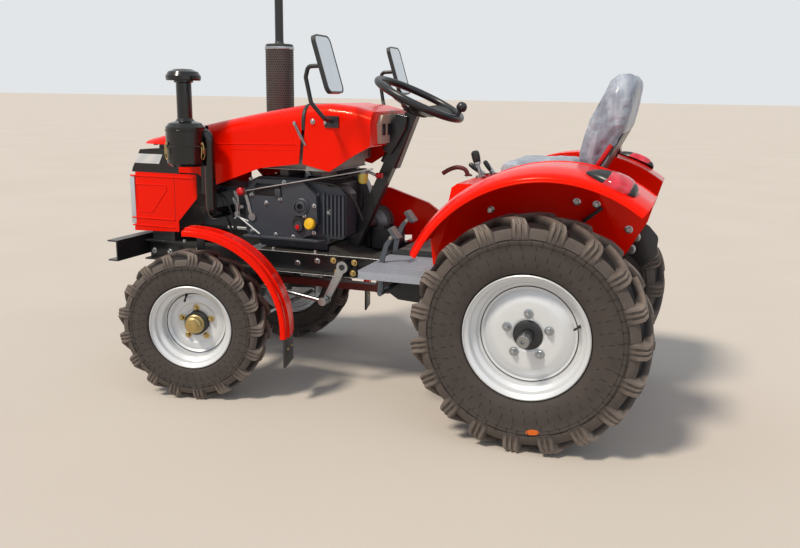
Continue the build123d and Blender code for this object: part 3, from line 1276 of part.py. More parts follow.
with BuildPart() as hood_below:
    with BuildSketch(side(HOOD_HALF + 10)):
        with BuildLine():
            Polyline((HOOD_LOW[0][0] - 40, HOOD_LOW[0][1]), *HOOD_LOW, (1760, 986), (1760, HOOD_FLOOR - 10),
                     (HOOD_LOW[0][0] - 40, HOOD_FLOOR - 10), close=True)
        make_face()
    extrude(amount=2 * HOOD_HALF + 20)
with BuildPart() as hood_pin:
    with BuildSketch(side(170)):
        with Locations(HOOD_HINGE):
            Circle(HINGE_R)
    extrude(amount=340)
    for left in (170, -160):
        with BuildSketch(side(left)):
            with Locations((HOOD_HINGE[0], HOOD_HINGE[1] + 8)):
                Rectangle(16, 28)
        extrude(amount=10)
save(hood_block(0) - hood_block(SHEET) - hood_below.part + hood_pin.part, "hood")

# Cowl behind the hood: red shell with a rear wall that carries the instrument panel
COWL_SIDE = [(951, 1163), (860, 1168), (760, 1158), (685, 1139), (685, 1008), (747, 975), (857, 905),
             (972, 931)]
COWL_INNER = [(954, 1159), (860, 1164), (760, 1154), (689, 1135), (689, 960), (747, 900), (857, 840),
              (976, 850), (976, 920)]


def cowl_block(outline, half, radius):
    with BuildPart() as block:
        with BuildSketch(side(half)):
            with BuildLine():
                Polyline(*outline, close=True)
            make_face()
        extrude(amount=2 * half)
        fillet([edge for edge in block.edges().filter_by(GeomType.LINE)
                if edge.center().Z > 1130 and abs(edge.center().Y) > half - 1], radius)
    return block.part


save(cowl_block(COWL_SIDE, HOOD_HALF, HOOD_SHOULDER_R - 12)
     - cowl_block(COWL_INNER, HOOD_HALF - SHEET, HOOD_SHOULDER_R - 12 - SHEET), "cowl")

# Instrument panel on the cowl's rear wall
with BuildPart() as dash:
    with BuildSketch(across(COWL_SIDE[3][0])):
        with BuildLine():
            Polyline((-150, 1016), (-46, 1016), (-46, 1062), (46, 1062), (46, 1016), (150, 1016),
                     (160, 1090), (130, 1126), (-130, 1126), (-160, 1090), close=True)
        make_face()
    extrude(amount=-14)
save(dash.part, "dash")

# Fuel tank on a tray over the engine, stepped over the flywheel; flanges at its front carry the cowl
TRAY_UP = 905
STEP_UP = 932
STEP_LEFT = -140
TRAY_T = 4
with BuildPart() as fuel_tank:
    with BuildSketch(side(212)):
        with Locations((1005, TRAY_UP + TRAY_T / 2)):
            Rectangle(310, TRAY_T)
    extrude(amount=212 - STEP_LEFT)
    with BuildSketch(side(198)):
        with Locations((1005, 977)):
            Rectangle(300, 136)
    extrude(amount=198 - STEP_LEFT)
    with BuildSketch(side(STEP_LEFT)):
        with Locations((1005, (STEP_UP + 1045) / 2)):
            Rectangle(300, 1045 - STEP_UP)
    extrude(amount=198 + STEP_LEFT)
    fillet(fuel_tank.edges().filter_by(Axis.Z).filter_by(lambda edge: edge.length > 100), 24)
    for low, near, far in ((TRAY_UP, 205, 226), (STEP_UP, -190, -226)):
        with BuildSketch(across(862)):
            with Locations(((near + far) / 2, low + TRAY_T / 2)):
                Rectangle(abs(far - near), TRAY_T)
            with Locations((far - (3 if far > 0 else -3), (low + 972) / 2)):
                Rectangle(6, 972 - low)
        extrude(amount=96)
    for ahead in (980, 1130):
        with BuildSketch(level(CASE_TOP)):
            with Locations((ahead, 0)):
                Rectangle(40, 160)
        extrude(amount=TRAY_UP - CASE_TOP)
save(fuel_tank.part, "fuel_tank")

# Mirrors: tube arms from the cowl's sides, housings at their tops, and the glass
MIRROR_ARM_R = 8
ARM_POINTS = [(845, 233, 1100), (828, 330, 1112), (862, 374, 1170), (880, 380, 1262), (870, 380, 1300),
              (797, 380, 1304)]
MIRROR_CENTRE = (800, 380, 1304)
MIRROR_RISE = (62, 202)
MIRROR_T = 16
rise = hypot(*MIRROR_RISE)
mirror_up = Vector(MIRROR_RISE[0] / rise, 0, MIRROR_RISE[1] / rise)
mirror_face = Vector(-MIRROR_RISE[1] / rise, 0, MIRROR_RISE[0] / rise)
with BuildPart() as mirrors:
    for name, way in SIDES:
        with BuildLine() as arm:
            FilletPolyline(*[at(ahead, way * left, up) for ahead, left, up in ARM_POINTS], radius=18)
        start = Vector(*at(ARM_POINTS[0][0], way * ARM_POINTS[0][1], ARM_POINTS[0][2]))
        second = Vector(*at(ARM_POINTS[1][0], way * ARM_POINTS[1][1], ARM_POINTS[1][2]))
        with BuildSketch(Plane(origin=start, z_dir=second - start)):
            Circle(MIRROR_ARM_R)
        sweep(path=arm.line)
        with BuildSketch(side(way * 230)):
            with Locations((843, 1098)):
                Rectangle(58, 44)
        extrude(amount=-way * 6)
        middle = Vector(*at(MIRROR_CENTRE[0], way * MIRROR_CENTRE[1], MIRROR_CENTRE[2]))
        with BuildSketch(Plane(origin=middle, x_dir=(0, 1, 0), z_dir=mirror_face)):
            RectangleRounded(136, 212, 26)
        extrude(amount=MIRROR_T)
        with BuildSketch(Plane(origin=middle + mirror_face * (MIRROR_T - 4), x_dir=(0, 1, 0),
                               z_dir=mirror_face)):
            RectangleRounded(124, 200, 21)
        extrude(amount=5, mode=Mode.SUBTRACT)
save(mirrors.part, "mirrors")
with BuildPart() as mirror_glass:
    for name, way in SIDES:
        middle = Vector(*at(MIRROR_CENTRE[0], way * MIRROR_CENTRE[1], MIRROR_CENTRE[2]))
        with BuildSketch(Plane(origin=middle + mirror_face * (MIRROR_T - 4), x_dir=(0, 1, 0),
                               z_dir=mirror_face)):
            RectangleRounded(124, 200, 21)
        extrude(amount=3)
save(mirror_glass.part, "mirror_glass")

# Battery on the first tie, right of the steering box
with BuildPart() as battery:
    with BuildSketch(level(560)):
        with Locations((731, -112)):
            Rectangle(112, 104)
    extrude(amount=84)
    with BuildSketch(level(640)):
        with Locations((731, -80), (731, -144)):
            Circle(9)
    extrude(amount=16)
save(battery.part, "battery")

# Levers on the deck: the gear lever with its knob, and two more at its right
with BuildPart() as levers:
    for ahead, left, top, lean_back, knob in ((305, 0, 990, 28, 15), (322, -120, 930, 60, 9),
                                              (290, -160, 940, 40, 9)):
        foot = Vector(*at(ahead, left, DECK_TOP))
        tip = Vector(*at(ahead + lean_back, left, top))
        with BuildSketch(Plane(origin=foot, x_dir=(0, 1, 0), z_dir=(0, 0, 1))):
            Circle(20)
        extrude(amount=8)
        with BuildSketch(Plane(origin=foot + Vector(0, 0, 6), x_dir=(0, 1, 0), z_dir=tip - foot)):
            Circle(7)
        extrude(amount=(tip - foot).length - 30)
        with BuildSketch(Plane(origin=tip - (tip - foot).normalized() * 50, x_dir=(0, 1, 0),
                               z_dir=tip - foot)):
            Circle(knob)
        extrude(amount=50, taper=4)
save(levers.part, "levers")

# Throttle: lever on the gear case and its long rod to the column
with BuildPart() as throttle:
    with BuildSketch(side(ENGINE_LEFT + COVER_T + 8)):
        with Locations((1225, 700)):
            Circle(16)
        with BuildLine():
            Polyline((1218, 690), (1232, 690), (1250, 760), (1262, 800), (1250, 804), (1236, 762),
                     close=True)
        make_face()
    extrude(amount=8)
    with BuildSketch(side(ENGINE_LEFT + COVER_T + 20)):
        with Locations((1256, 806)):
            Circle(13)
    extrude(amount=20)
    rod_front = Vector(*at(1256, ENGINE_LEFT + COVER_T + 10, 806))
    rod_rear = Vector(*at(690, 186, 920))
    with BuildSketch(Plane(origin=rod_front, z_dir=rod_rear - rod_front)):
        Circle(4)
    extrude(amount=(rod_rear - rod_front).length)
save(throttle.part, "throttle")

# Work lamp on the right fender behind the seat
WORK_LAMP = (103, -320)
with BuildPart() as work_lamp:
    foot_turn = radians(WORK_LAMP[0])
    foot_out = Vector(cos(foot_turn), 0, sin(foot_turn))
    foot = Vector(*at(FENDER_CENTRE[0], WORK_LAMP[1], FENDER_CENTRE[1])) + foot_out * FENDER_R
    with BuildSketch(Plane(origin=foot, x_dir=(0, 1, 0), z_dir=foot_out)):
        Rectangle(24, 24)
    extrude(amount=14)
    with BuildSketch(Plane(origin=foot + Vector(22, 0, 52), x_dir=(0, 1, 0), z_dir=(-1, 0, 0))):
        Circle(40)
    extrude(amount=44, taper=-6)
save(work_lamp.part, "work_lamp")
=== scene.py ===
# %% [markdown]
# # A compact open tractor
#
# This notebook dresses the solid model of a small belt-driven tractor: bright sprayed sheet metal
# over a black frame, a grey cast engine, deep-lugged field tyres and a seat still wrapped in its film.
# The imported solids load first. They never move, and every piece made here is placed by their numbers.

# %% Load the solids
from math import cos, pi, radians, sin, sqrt

import bmesh
import bpy
from mathutils import Matrix, Vector, noise
from mathutils.bvhtree import BVHTree


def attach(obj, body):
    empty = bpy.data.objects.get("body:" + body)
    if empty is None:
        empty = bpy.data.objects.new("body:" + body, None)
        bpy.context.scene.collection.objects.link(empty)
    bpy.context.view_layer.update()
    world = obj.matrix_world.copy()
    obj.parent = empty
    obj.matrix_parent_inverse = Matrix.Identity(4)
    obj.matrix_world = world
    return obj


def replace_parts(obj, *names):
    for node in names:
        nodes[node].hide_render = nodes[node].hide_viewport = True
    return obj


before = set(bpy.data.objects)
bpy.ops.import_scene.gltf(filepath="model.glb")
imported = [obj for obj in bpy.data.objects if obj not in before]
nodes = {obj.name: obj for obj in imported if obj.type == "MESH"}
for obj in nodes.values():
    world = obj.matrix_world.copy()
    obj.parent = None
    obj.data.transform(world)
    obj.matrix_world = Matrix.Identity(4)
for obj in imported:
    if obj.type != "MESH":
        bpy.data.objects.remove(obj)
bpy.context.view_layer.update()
scene = bpy.context.scene

# %% [markdown]
# Drawings of a tractor are measured from its rear axle, in millimetres: ahead, left and up. Blender
# works in metres from the middle of the machine, so one short function turns one into the other, and
# every place below can be read off a drawing.

# %% Places in drawing millimetres
REAR_AXLE = 0.6915


def at(ahead, left, up):
    """Row-frame point of a place ahead of the rear axle, left of the middle and above the floor."""
    return Vector((ahead / 1000 - REAR_AXLE, left / 1000, up / 1000))


print("rear axle at", tuple(at(0, 0, 0)))


# %% [markdown]
# The camera stands to the tractor's left, a little behind the middle and slightly above the hood.
# Its place and tilt come from fitting the wheels' ellipses. Nothing is shifted: the picture's middle
# is the lens axis.

# %% Camera
PICTURE = (800, 548)
FOCAL_PX = 816.6
STANDS_AT = (-475, 3155, 1205)
AZIMUTH, PITCH, ROLL = radians(19.42), radians(12.40), radians(0.85)
camera = bpy.data.objects.new("camera", bpy.data.cameras.new("camera"))
scene.collection.objects.link(camera)
scene.camera = camera
forward = Vector((sin(AZIMUTH) * cos(PITCH), -cos(AZIMUTH) * cos(PITCH), -sin(PITCH)))
right = forward.cross(Vector((0, 0, 1))).normalized()
up = right.cross(forward)
right, up = right * cos(ROLL) + up * sin(ROLL), up * cos(ROLL) - right * sin(ROLL)
camera.matrix_world = Matrix.Translation(at(*STANDS_AT)) @ Matrix(
    (right, up, -forward)).transposed().to_4x4()
camera.data.sensor_width = 36
camera.data.lens = FOCAL_PX / PICTURE[0] * camera.data.sensor_width
camera.data.clip_end = 500
print("lens", round(camera.data.lens, 2), "mm")

# %% [markdown]
# Every finish is a small tree of nodes. Three helpers are enough: one turns the colour that a painter
# would write, a hex value, into the linear numbers that the renderer adds up, one adds a node with
# its settings and links, and one opens a material whose tree is still empty.

# %% Colour and node helpers


def linear(hex_colour):
    """Linear colour of an sRGB hex value."""
    parts = [int(hex_colour[i:i + 2], 16) / 255 for i in (1, 3, 5)]
    return tuple(p / 12.92 if p <= 0.04045 else ((p + 0.055) / 1.055) ** 2.4 for p in parts) + (1.0,)


def add(tree, kind, inputs=None, **settings):
    """Adds a node, with its settings, and its inputs as values or as sockets to link from."""
    made = tree.nodes.new(kind)
    for name, value in settings.items():
        setattr(made, name, value)
    for name, value in (inputs or {}).items():
        if isinstance(value, bpy.types.NodeSocket):
            tree.links.new(value, made.inputs[name])
        else:
            made.inputs[name].default_value = value
    return made


def blank(name):
    """New material and its empty tree."""
    made = bpy.data.materials.new(name)
    made.use_nodes = True
    made.node_tree.nodes.clear()
    return made, made.node_tree


print("mid grey", [round(v, 3) for v in linear("#808080")])


# %% [markdown]
# The stage is a pale floor and a pale sky. A camera ray that meets the sky sees plain pale light, and
# so do mirrors and glass, while the world that lights the object stays dimmer. One broad warm lamp
# stands high at the front left, and a weak wide one fills from behind the driver.

# %% Stage and lights
FLOOR = "#CFC6BC"
SKY = "#E3E6E8"
FLOOR_HALF = 200  # metres
world = bpy.data.worlds.new("studio")
scene.world = world
world.use_nodes = True
tree = world.node_tree
tree.nodes.clear()
path = add(tree, "ShaderNodeLightPath")
seen = add(tree, "ShaderNodeMath", {0: path.outputs["Is Camera Ray"],
                                    1: path.outputs["Is Transmission Ray"]}, operation="MAXIMUM")
seen = add(tree, "ShaderNodeMath", {0: seen.outputs[0], 1: path.outputs["Is Glossy Ray"]},
           operation="MAXIMUM")
lit = add(tree, "ShaderNodeBackground", {"Color": linear("#DDE6F0"), "Strength": 0.60})
shown = add(tree, "ShaderNodeBackground", {"Color": linear(SKY), "Strength": 1.0})
mixed = add(tree, "ShaderNodeMixShader", {0: seen.outputs[0], 1: lit.outputs[0], 2: shown.outputs[0]})
add(tree, "ShaderNodeOutputWorld", {"Surface": mixed.outputs[0]})

floor_mesh = bpy.data.meshes.new("floor")
floor_mesh.from_pydata([(x * FLOOR_HALF, y * FLOOR_HALF, 0) for x, y in ((-1, -1), (1, -1), (1, 1), (-1, 1))],
                       [], [(0, 1, 2, 3)])
floor = bpy.data.objects.new("floor", floor_mesh)
scene.collection.objects.link(floor)
floor_paint, tree = blank("studio_floor")
place = add(tree, "ShaderNodeTexCoord")
cloud = add(tree, "ShaderNodeTexNoise", {"Vector": place.outputs["Object"], "Scale": 0.8, "Detail": 4.0})
tint = add(tree, "ShaderNodeMix", {0: cloud.outputs["Fac"], 6: linear(FLOOR), 7: linear("#C4BBB0")},
           data_type="RGBA")
matte = add(tree, "ShaderNodeBsdfPrincipled", {"Base Color": tint.outputs[2], "Roughness": 0.9})
add(tree, "ShaderNodeOutputMaterial", {"Surface": matte.outputs[0]})
floor_mesh.materials.append(floor_paint)

# name, where it stands, angle in degrees, strength and colour
LAMPS = (("key", (0.9, 1.7, 2.6), 10, 2.9, "#FFF4E4"), ("fill", (-1.5, 1.4, 1.0), 60, 0.35, "#EAF1FF"))
for name, towards, spread, strength, colour in LAMPS:
    lamp = bpy.data.objects.new(name, bpy.data.lights.new(name, "SUN"))
    lamp.data.angle = radians(spread)
    lamp.data.energy = strength
    lamp.data.color = linear(colour)[:3]
    lamp.rotation_euler = (-Vector(towards)).to_track_quat("-Z", "Y").to_euler()
    lamp.location = towards
    scene.collection.objects.link(lamp)
scene.view_settings.view_transform = "Standard"
print("lamps", len(LAMPS))

# %% [markdown]
# ## Finishes
#
# Most surfaces here are the same idea: a base colour that drifts a little from place to place, a fine
# grain in the relief, a gloss that varies with handling, and dust that has settled on what faces up.
# One function builds that. The noise is scaled from millimetres, read on Object coordinates, so a
# pattern keeps its size on every piece and never slides.

# %% A finish built from real sizes
DUST = "#8C8377"


def finish(name, base, drift, drift_mm=180.0, rough=(0.3, 0.4), metallic=0.0, coat=0.0, coat_rough=0.06,
           grain_mm=1.5, grain=0.0, dusty=0.0, ior=1.5, glint="#FFFFFF"):
    """A painted, cast or moulded surface; rough is its smoothest and roughest, grain its relief in mm."""
    made, tree = blank(name)
    place = add(tree, "ShaderNodeTexCoord").outputs["Object"]
    broad = add(tree, "ShaderNodeTexNoise", {"Vector": place, "Scale": 1000 / drift_mm, "Detail": 4.0,
                                             "Roughness": 0.6})
    colour = add(tree, "ShaderNodeMix", {0: broad.outputs["Fac"], 6: linear(base), 7: linear(drift)},
                 data_type="RGBA", clamp_factor=True).outputs[2]
    gloss = add(tree, "ShaderNodeMapRange", {"Value": broad.outputs["Fac"], "From Min": 0.3,
                                             "From Max": 0.7, "To Min": rough[0], "To Max": rough[1]})
    if dusty:
        lean = add(tree, "ShaderNodeSeparateXYZ", {0: add(tree, "ShaderNodeNewGeometry").outputs["Normal"]})
        speck = add(tree, "ShaderNodeTexNoise", {"Vector": place, "Scale": 22.0, "Detail": 6.0,
                                                 "Roughness": 0.7})
        lies = add(tree, "ShaderNodeMapRange", {"Value": lean.outputs["Z"], "From Min": 0.15,
                                                "From Max": 1.0, "To Min": 0.0, "To Max": dusty})
        much = add(tree, "ShaderNodeMath", {0: lies.outputs[0], 1: speck.outputs["Fac"]},
                   operation="MULTIPLY")
        colour = add(tree, "ShaderNodeMix", {0: much.outputs[0], 6: colour, 7: linear(DUST)},
                     data_type="RGBA").outputs[2]
    shader = add(tree, "ShaderNodeBsdfPrincipled", {
        "Base Color": colour, "Roughness": gloss.outputs[0], "Metallic": metallic,
        "Coat Weight": coat, "Coat Roughness": coat_rough, "Specular Tint": linear(glint)})
    if not metallic:
        shader.inputs["IOR"].default_value = ior
    if grain:
        fine = add(tree, "ShaderNodeTexNoise", {"Vector": place, "Scale": 1000 / grain_mm, "Detail": 3.0})
        relief = add(tree, "ShaderNodeBump", {"Height": fine.outputs["Fac"], "Distance": grain / 1000,
                                              "Strength": 0.6})
        tree.links.new(relief.outputs[0], shader.inputs["Normal"])
    add(tree, "ShaderNodeOutputMaterial", {"Surface": shader.outputs[0]})
    return made


# %% [markdown]
# The sheet metal is pressed steel with a sprayed synthetic enamel: a hot orange-red, wet-looking, with
# the faint orange-peel ripple of a spray gun. The frame is brushed-on black, the air cleaner stove
# enamel, the wheels aluminium paint. Each is the same recipe with its own numbers.

# %% Paints
# Orange-red enamel: deep gloss, slight ripple about 6 mm across
enamel_red = finish("sprayed_enamel_red", "#EF1500", "#E31100", 420, (0.22, 0.30), coat=0.14,
                    coat_rough=0.05, grain_mm=7, grain=0.10, ior=1.36, glint="#FF8A5A")
enamel_black = finish("brushed_enamel_black", "#15171A", "#1F2124", 160, (0.32, 0.48), coat=0.15,
                      grain_mm=2.5, grain=0.10, dusty=0.30)
stove_black = finish("stove_enamel_black", "#08090A", "#0D0E0F", 200, (0.16, 0.24), coat=0.35,
                     coat_rough=0.04, grain_mm=8, grain=0.05, ior=1.42)
wheel_silver = finish("aluminium_paint", "#DADCDE", "#CBCED1", 130, (0.30, 0.42), metallic=0.25,
                      grain_mm=1.2, grain=0.06)
plate_grey = finish("galvanised_plate", "#A6ABB5", "#9196A1", 60, (0.36, 0.5), metallic=0.2, grain_mm=2,
                    grain=0.10)
slate_grey = finish("slate_enamel", "#4C545C", "#424A52", 90, (0.38, 0.5), grain_mm=2, grain=0.10)
engine_grey = finish("cast_iron_grey_paint", "#353B45", "#2A3038", 90, (0.40, 0.52), grain_mm=2.2,
                     grain=0.45, coat=0.1, dusty=0.25)
print("paints", len(bpy.data.materials))

# %% [markdown]
# Metals differ in how much of them is bare: full metallic for zinc plate and turned steel, less where a
# casting's skin or a coat of paint covers it. Rubber and plastic are told apart by grain and roughness.

# %% Metals, castings and rubber
zinc = finish("zinc_plated_steel", "#B9BCBE", "#8F9396", 25, (0.22, 0.38), metallic=1.0, grain_mm=0.8,
              grain=0.04)
yellow_zinc = finish("yellow_passivated_steel", "#C9B27A", "#A88F5B", 12, (0.28, 0.42), metallic=1.0,
                     grain_mm=0.8, grain=0.04)
bare_steel = finish("machined_steel", "#A7A9AB", "#86898C", 30, (0.26, 0.36), metallic=1.0,
                    grain_mm=0.7, grain=0.03)
cast_alloy = finish("cast_alloy", "#9A9DA0", "#7E8285", 40, (0.42, 0.55), metallic=0.8, grain_mm=1.6,
                    grain=0.25)
cast_dark = finish("dark_casting", "#24272A", "#303336", 70, (0.5, 0.62), grain_mm=2.4, grain=0.5,
                   dusty=0.35)
belt_rubber = finish("belt_rubber", "#1B1B1B", "#262523", 60, (0.6, 0.75), grain_mm=1.0, grain=0.08)
trim_rubber = finish("extruded_rubber", "#1D1E20", "#292A2C", 80, (0.42, 0.55), grain_mm=1.2, grain=0.05)
black_plastic = finish("grained_black_plastic", "#16181C", "#1C1F23", 90, (0.28, 0.38), grain_mm=0.9,
                       grain=0.05, dusty=0.05)
pale_plastic = finish("beige_moulding", "#B7AE9C", "#A69D8B", 60, (0.42, 0.55), grain_mm=0.9, grain=0.08)
dark_red = finish("oxide_red_paint", "#6E1712", "#571310", 60, (0.32, 0.45), grain_mm=3, grain=0.08)
signal_red = finish("red_moulding", "#D0121A", "#B50E15", 30, (0.22, 0.32), coat=0.2)
white_enamel = finish("white_moulding", "#E4E6E6", "#D5D8D8", 40, (0.25, 0.35))
yellow_cap = finish("yellow_moulding", "#E2B60E", "#CFA20A", 30, (0.28, 0.38), coat=0.1)
# Black that paints shade: the gap behind a rim's disc, the nose seams, the engine cover's recesses and the
# guard's holes
shade_black = finish("shadowed_black", "#060607", "#0B0B0C", 60, (0.6, 0.7))
# Bare guard over the silencer, browned by heat
guard_steel = finish("heat_browned_steel", "#6A5F5B", "#4E4744", 40, (0.38, 0.5), metallic=0.6, grain_mm=1,
                     grain=0.05)
grille_silver = finish("silver_moulding", "#C9CFD6", "#B8BEC6", 60, (0.25, 0.35), metallic=0.5)
radiator_core = finish("radiator_core", "#2A2B2D", "#3A3B3D", 20, (0.5, 0.6), grain_mm=1, grain=0.2)
pad_grey = finish("worn_grey_rubber", "#A9A7A0", "#8E8C86", 25, (0.55, 0.7), grain_mm=1, grain=0.1)
tank_grey = finish("painted_tank", "#8F8D88", "#7D7B76", 90, (0.4, 0.52), grain_mm=2, grain=0.08, dusty=0.2)
amber_bowl = finish("amber_fuel_bowl", "#D9CB62", "#C9B74A", 30, (0.15, 0.22), coat=0.4)
brass_cap = finish("zinc_passivated_casting", "#B9A574", "#A08C5C", 25, (0.32, 0.46), metallic=0.7,
                   grain_mm=1.5, grain=0.1)
cut_rubber = finish("mould_marked_rubber", "#171413", "#1F1B19", 40, (0.6, 0.7))
orange_moulding = finish("orange_moulding", "#D8660F", "#C4580A", 20, (0.35, 0.45))
print("with metals and rubbers", len(bpy.data.materials))

# %% [markdown]
# Lenses need light to pass, so the clear one and the ruby one have their own short tree. Their moulded
# ribs are a wave in the relief. Real ribs stand a few millimetres apart, too fine to show here, so they
# are drawn as bands some 36 and 44 mm apart. A mirror is silvered glass: the usual finish, all metal
# and hardly rough.

# %% Lenses and mirror


def lens(name, colours, waves, pass_light):
    """Moulded lens with slanting bands behind its smooth face; waves is the wave texture's scale."""
    made, tree = blank(name)
    place = add(tree, "ShaderNodeTexCoord").outputs["Object"]
    ribs = add(tree, "ShaderNodeTexWave", {"Vector": place, "Scale": waves, "Distortion": 0.0},
               wave_type="BANDS", bands_direction="DIAGONAL")
    relief = add(tree, "ShaderNodeBump", {"Height": ribs.outputs["Fac"], "Distance": 0.0006,
                                          "Strength": 0.5})
    tint = add(tree, "ShaderNodeMix", {0: ribs.outputs["Fac"], 6: linear(colours[0]), 7: linear(colours[1])},
               data_type="RGBA")
    shader = add(tree, "ShaderNodeBsdfPrincipled", {
        "Base Color": tint.outputs[2], "Roughness": 0.08, "IOR": 1.49, "Coat Weight": 0.6,
        "Coat Roughness": 0.02, "Transmission Weight": pass_light, "Normal": relief.outputs[0]})
    add(tree, "ShaderNodeOutputMaterial", {"Surface": shader.outputs[0]})
    return made


ruby_lens = lens("ruby_acrylic", ("#D4102A", "#F0304A"), 1000 / 5 / 20, 0.25)
clear_lens = lens("clear_acrylic", ("#E9EEF2", "#FFFFFF"), 1000 / 6 / 20, 0.35)
mirror_silver = finish("silvered_glass", "#D9DEE2", "#CDD3D8", 90, (0.02, 0.05), metallic=1.0)
print("lenses", ruby_lens.name, clear_lens.name)

# %% [markdown]
# ### Tyre rubber
#
# Field tyres that have stood in a dry yard are not black. The rubber is a warm grey-brown, paler where
# dust has caught on the lugs, darker with painted shade in the corners between them, with a fine matt
# grain. The dust and the painted shade follow height above the carcass, so they are read from the
# distance to the wheel's own axis, which each wheel's mesh carries as an attribute called reach.

# %% Tyre rubber
tyre_rubber, tree = blank("tyre_rubber_dust_and_painted_shade")
place = add(tree, "ShaderNodeTexCoord").outputs["Object"]
reach = add(tree, "ShaderNodeAttribute", attribute_name="reach").outputs["Fac"]
patches = add(tree, "ShaderNodeTexNoise", {"Vector": place, "Scale": 14.0, "Detail": 6.0, "Roughness": 0.65})
grit = add(tree, "ShaderNodeTexNoise", {"Vector": place, "Scale": 350.0, "Detail": 4.0, "Roughness": 0.7})
climb = add(tree, "ShaderNodeMapRange", {"Value": reach, "From Min": 0.40, "From Max": 1.0, "To Min": 0.0,
                                         "To Max": 0.85})
caught = add(tree, "ShaderNodeMath", {0: climb.outputs[0], 1: patches.outputs["Fac"]}, operation="MULTIPLY")
spread = add(tree, "ShaderNodeMapRange", {"Value": caught.outputs[0], "From Min": 0.0, "From Max": 0.62,
                                          "To Min": 0.0, "To Max": 1.0})
body = add(tree, "ShaderNodeMix", {0: patches.outputs["Fac"], 6: linear("#2A2422"), 7: linear("#3A322E")},
           data_type="RGBA")
# painted shade: where reach is near zero, between the lugs, the rubber goes nearly black
painted_shade_between_lugs = add(tree, "ShaderNodeMapRange", {"Value": reach, "From Min": 0.0, "From Max": 0.42, "To Min": 1.0,
                                          "To Max": 0.0})
deep = add(tree, "ShaderNodeMix", {0: painted_shade_between_lugs.outputs[0], 6: body.outputs[2], 7: linear("#131110")},
           data_type="RGBA")
dusted = add(tree, "ShaderNodeMix", {0: spread.outputs[0], 6: deep.outputs[2], 7: linear("#857970")},
             data_type="RGBA")
relief = add(tree, "ShaderNodeBump", {"Height": grit.outputs["Fac"], "Distance": 0.0006, "Strength": 0.5})
shader = add(tree, "ShaderNodeBsdfPrincipled", {"Base Color": dusted.outputs[2], "Roughness": 0.74,
                                                "Normal": relief.outputs[0]})
add(tree, "ShaderNodeOutputMaterial", {"Surface": shader.outputs[0]})
print("nodes in the tyre rubber", len(tree.nodes))

# %% [markdown]
# ### Seat vinyl under its film
#
# The seat is black vinyl with a red edge, still inside a clear polythene bag. From a few metres the bag
# wins: a milky grey skin with painted highlights along its sharp creases, and dark vinyl showing where
# it lies tight.

# %% Film over vinyl
seat_film, tree = blank("polythene_over_vinyl")
place = add(tree, "ShaderNodeTexCoord").outputs["Object"]
fold = add(tree, "ShaderNodeAttribute", attribute_name="fold").outputs["Fac"]
drawn = add(tree, "ShaderNodeMapping", {"Vector": place, "Rotation": (0.0, 0.5, 0.3),
                                        "Scale": (1.6, 1.0, 0.6)})
crumple = add(tree, "ShaderNodeTexNoise", {"Vector": drawn.outputs[0], "Scale": 6.0, "Detail": 4.0,
                                           "Roughness": 0.55, "Lacunarity": 2.2, "Offset": 0.9, "Gain": 2.0,
                                           "Distortion": 0.25}, noise_type="RIDGED_MULTIFRACTAL")
# painted highlights: the ridges of the crumple noise and the folds of the mesh are painted pale
bright = add(tree, "ShaderNodeMapRange", {"Value": crumple.outputs["Fac"], "From Min": 0.9, "From Max": 2.4,
                                          "To Min": 0.0, "To Max": 0.85})
crease_highlight = add(tree, "ShaderNodeMath", {0: bright.outputs[0], 1: add(tree, "ShaderNodeMath", {
    0: fold, 1: 0.45}, operation="MULTIPLY").outputs[0]}, operation="ADD")
milk = add(tree, "ShaderNodeMix", {0: crease_highlight.outputs[0], 6: linear("#727B8B"), 7: linear("#D3DAE5")},
           data_type="RGBA", clamp_factor=True)
relief = add(tree, "ShaderNodeBump", {"Height": crumple.outputs["Fac"], "Distance": 0.0025, "Strength": 0.35})
shader = add(tree, "ShaderNodeBsdfPrincipled", {"Base Color": milk.outputs[2], "Roughness": 0.42,
                                                "Coat Weight": 0.22, "Coat Roughness": 0.16, "IOR": 1.35,
                                                "Normal": relief.outputs[0]})
add(tree, "ShaderNodeOutputMaterial", {"Surface": shader.outputs[0]})
vinyl_black = finish("black_vinyl", "#1A1A1C", "#232326", 60, (0.35, 0.5), grain_mm=1.4, grain=0.15)
print("finishes", len(bpy.data.materials))

# %% [markdown]
# ## Dressing the solids
#
# Each solid already carries one material slot. The slot is filled with the finish of that part; solids
# that get a richer stand-in later are dressed too, so nothing depends on the order of the cells.

# %% Finish for each solid
DRESS = {
    enamel_red: ("hood", "cowl", "nose_panel", "fender_left", "fender_right", "front_fender_left",
                 "front_fender_right", "seat_deck", "belt_guard"),
    enamel_black: ("frame_rails", "front_bumper", "front_axle", "steering_box", "steering_column",
                   "knuckle_left", "knuckle_right", "rear_hitch", "radiator", "seat_pan",
                   "exhaust", "work_lamp", "mirrors"),
    stove_black: ("air_cleaner", "headlamp_band"),
    dark_red: ("radius_rod",),
    plate_grey: ("footplates",),
    slate_grey: ("pedals",),
    tank_grey: ("fuel_tank",),
    engine_grey: ("engine", "gear_cover"),
    cast_dark: ("transmission",),
    zinc: ("drag_link", "pitman_arm", "tie_rod", "throttle", "levers"),
    bare_steel: ("drive_stub",),
    cast_alloy: ("belt_pulleys", "grille"),
    belt_rubber: ("drive_belts",),
    black_plastic: ("steering_wheel", "battery", "tail_lamp_housings"),
    pale_plastic: ("dash",),
    ruby_lens: ("tail_lamp_lenses",),
    clear_lens: ("headlamp_lenses",),
    mirror_silver: ("mirror_glass",),
    seat_film: ("seat_back", "seat_cushion"),
    tyre_rubber: ("tyre_front_left", "tyre_front_right", "tyre_rear_left", "tyre_rear_right"),
    wheel_silver: ("wheel_front_left", "wheel_front_right", "wheel_rear_left", "wheel_rear_right"),
}
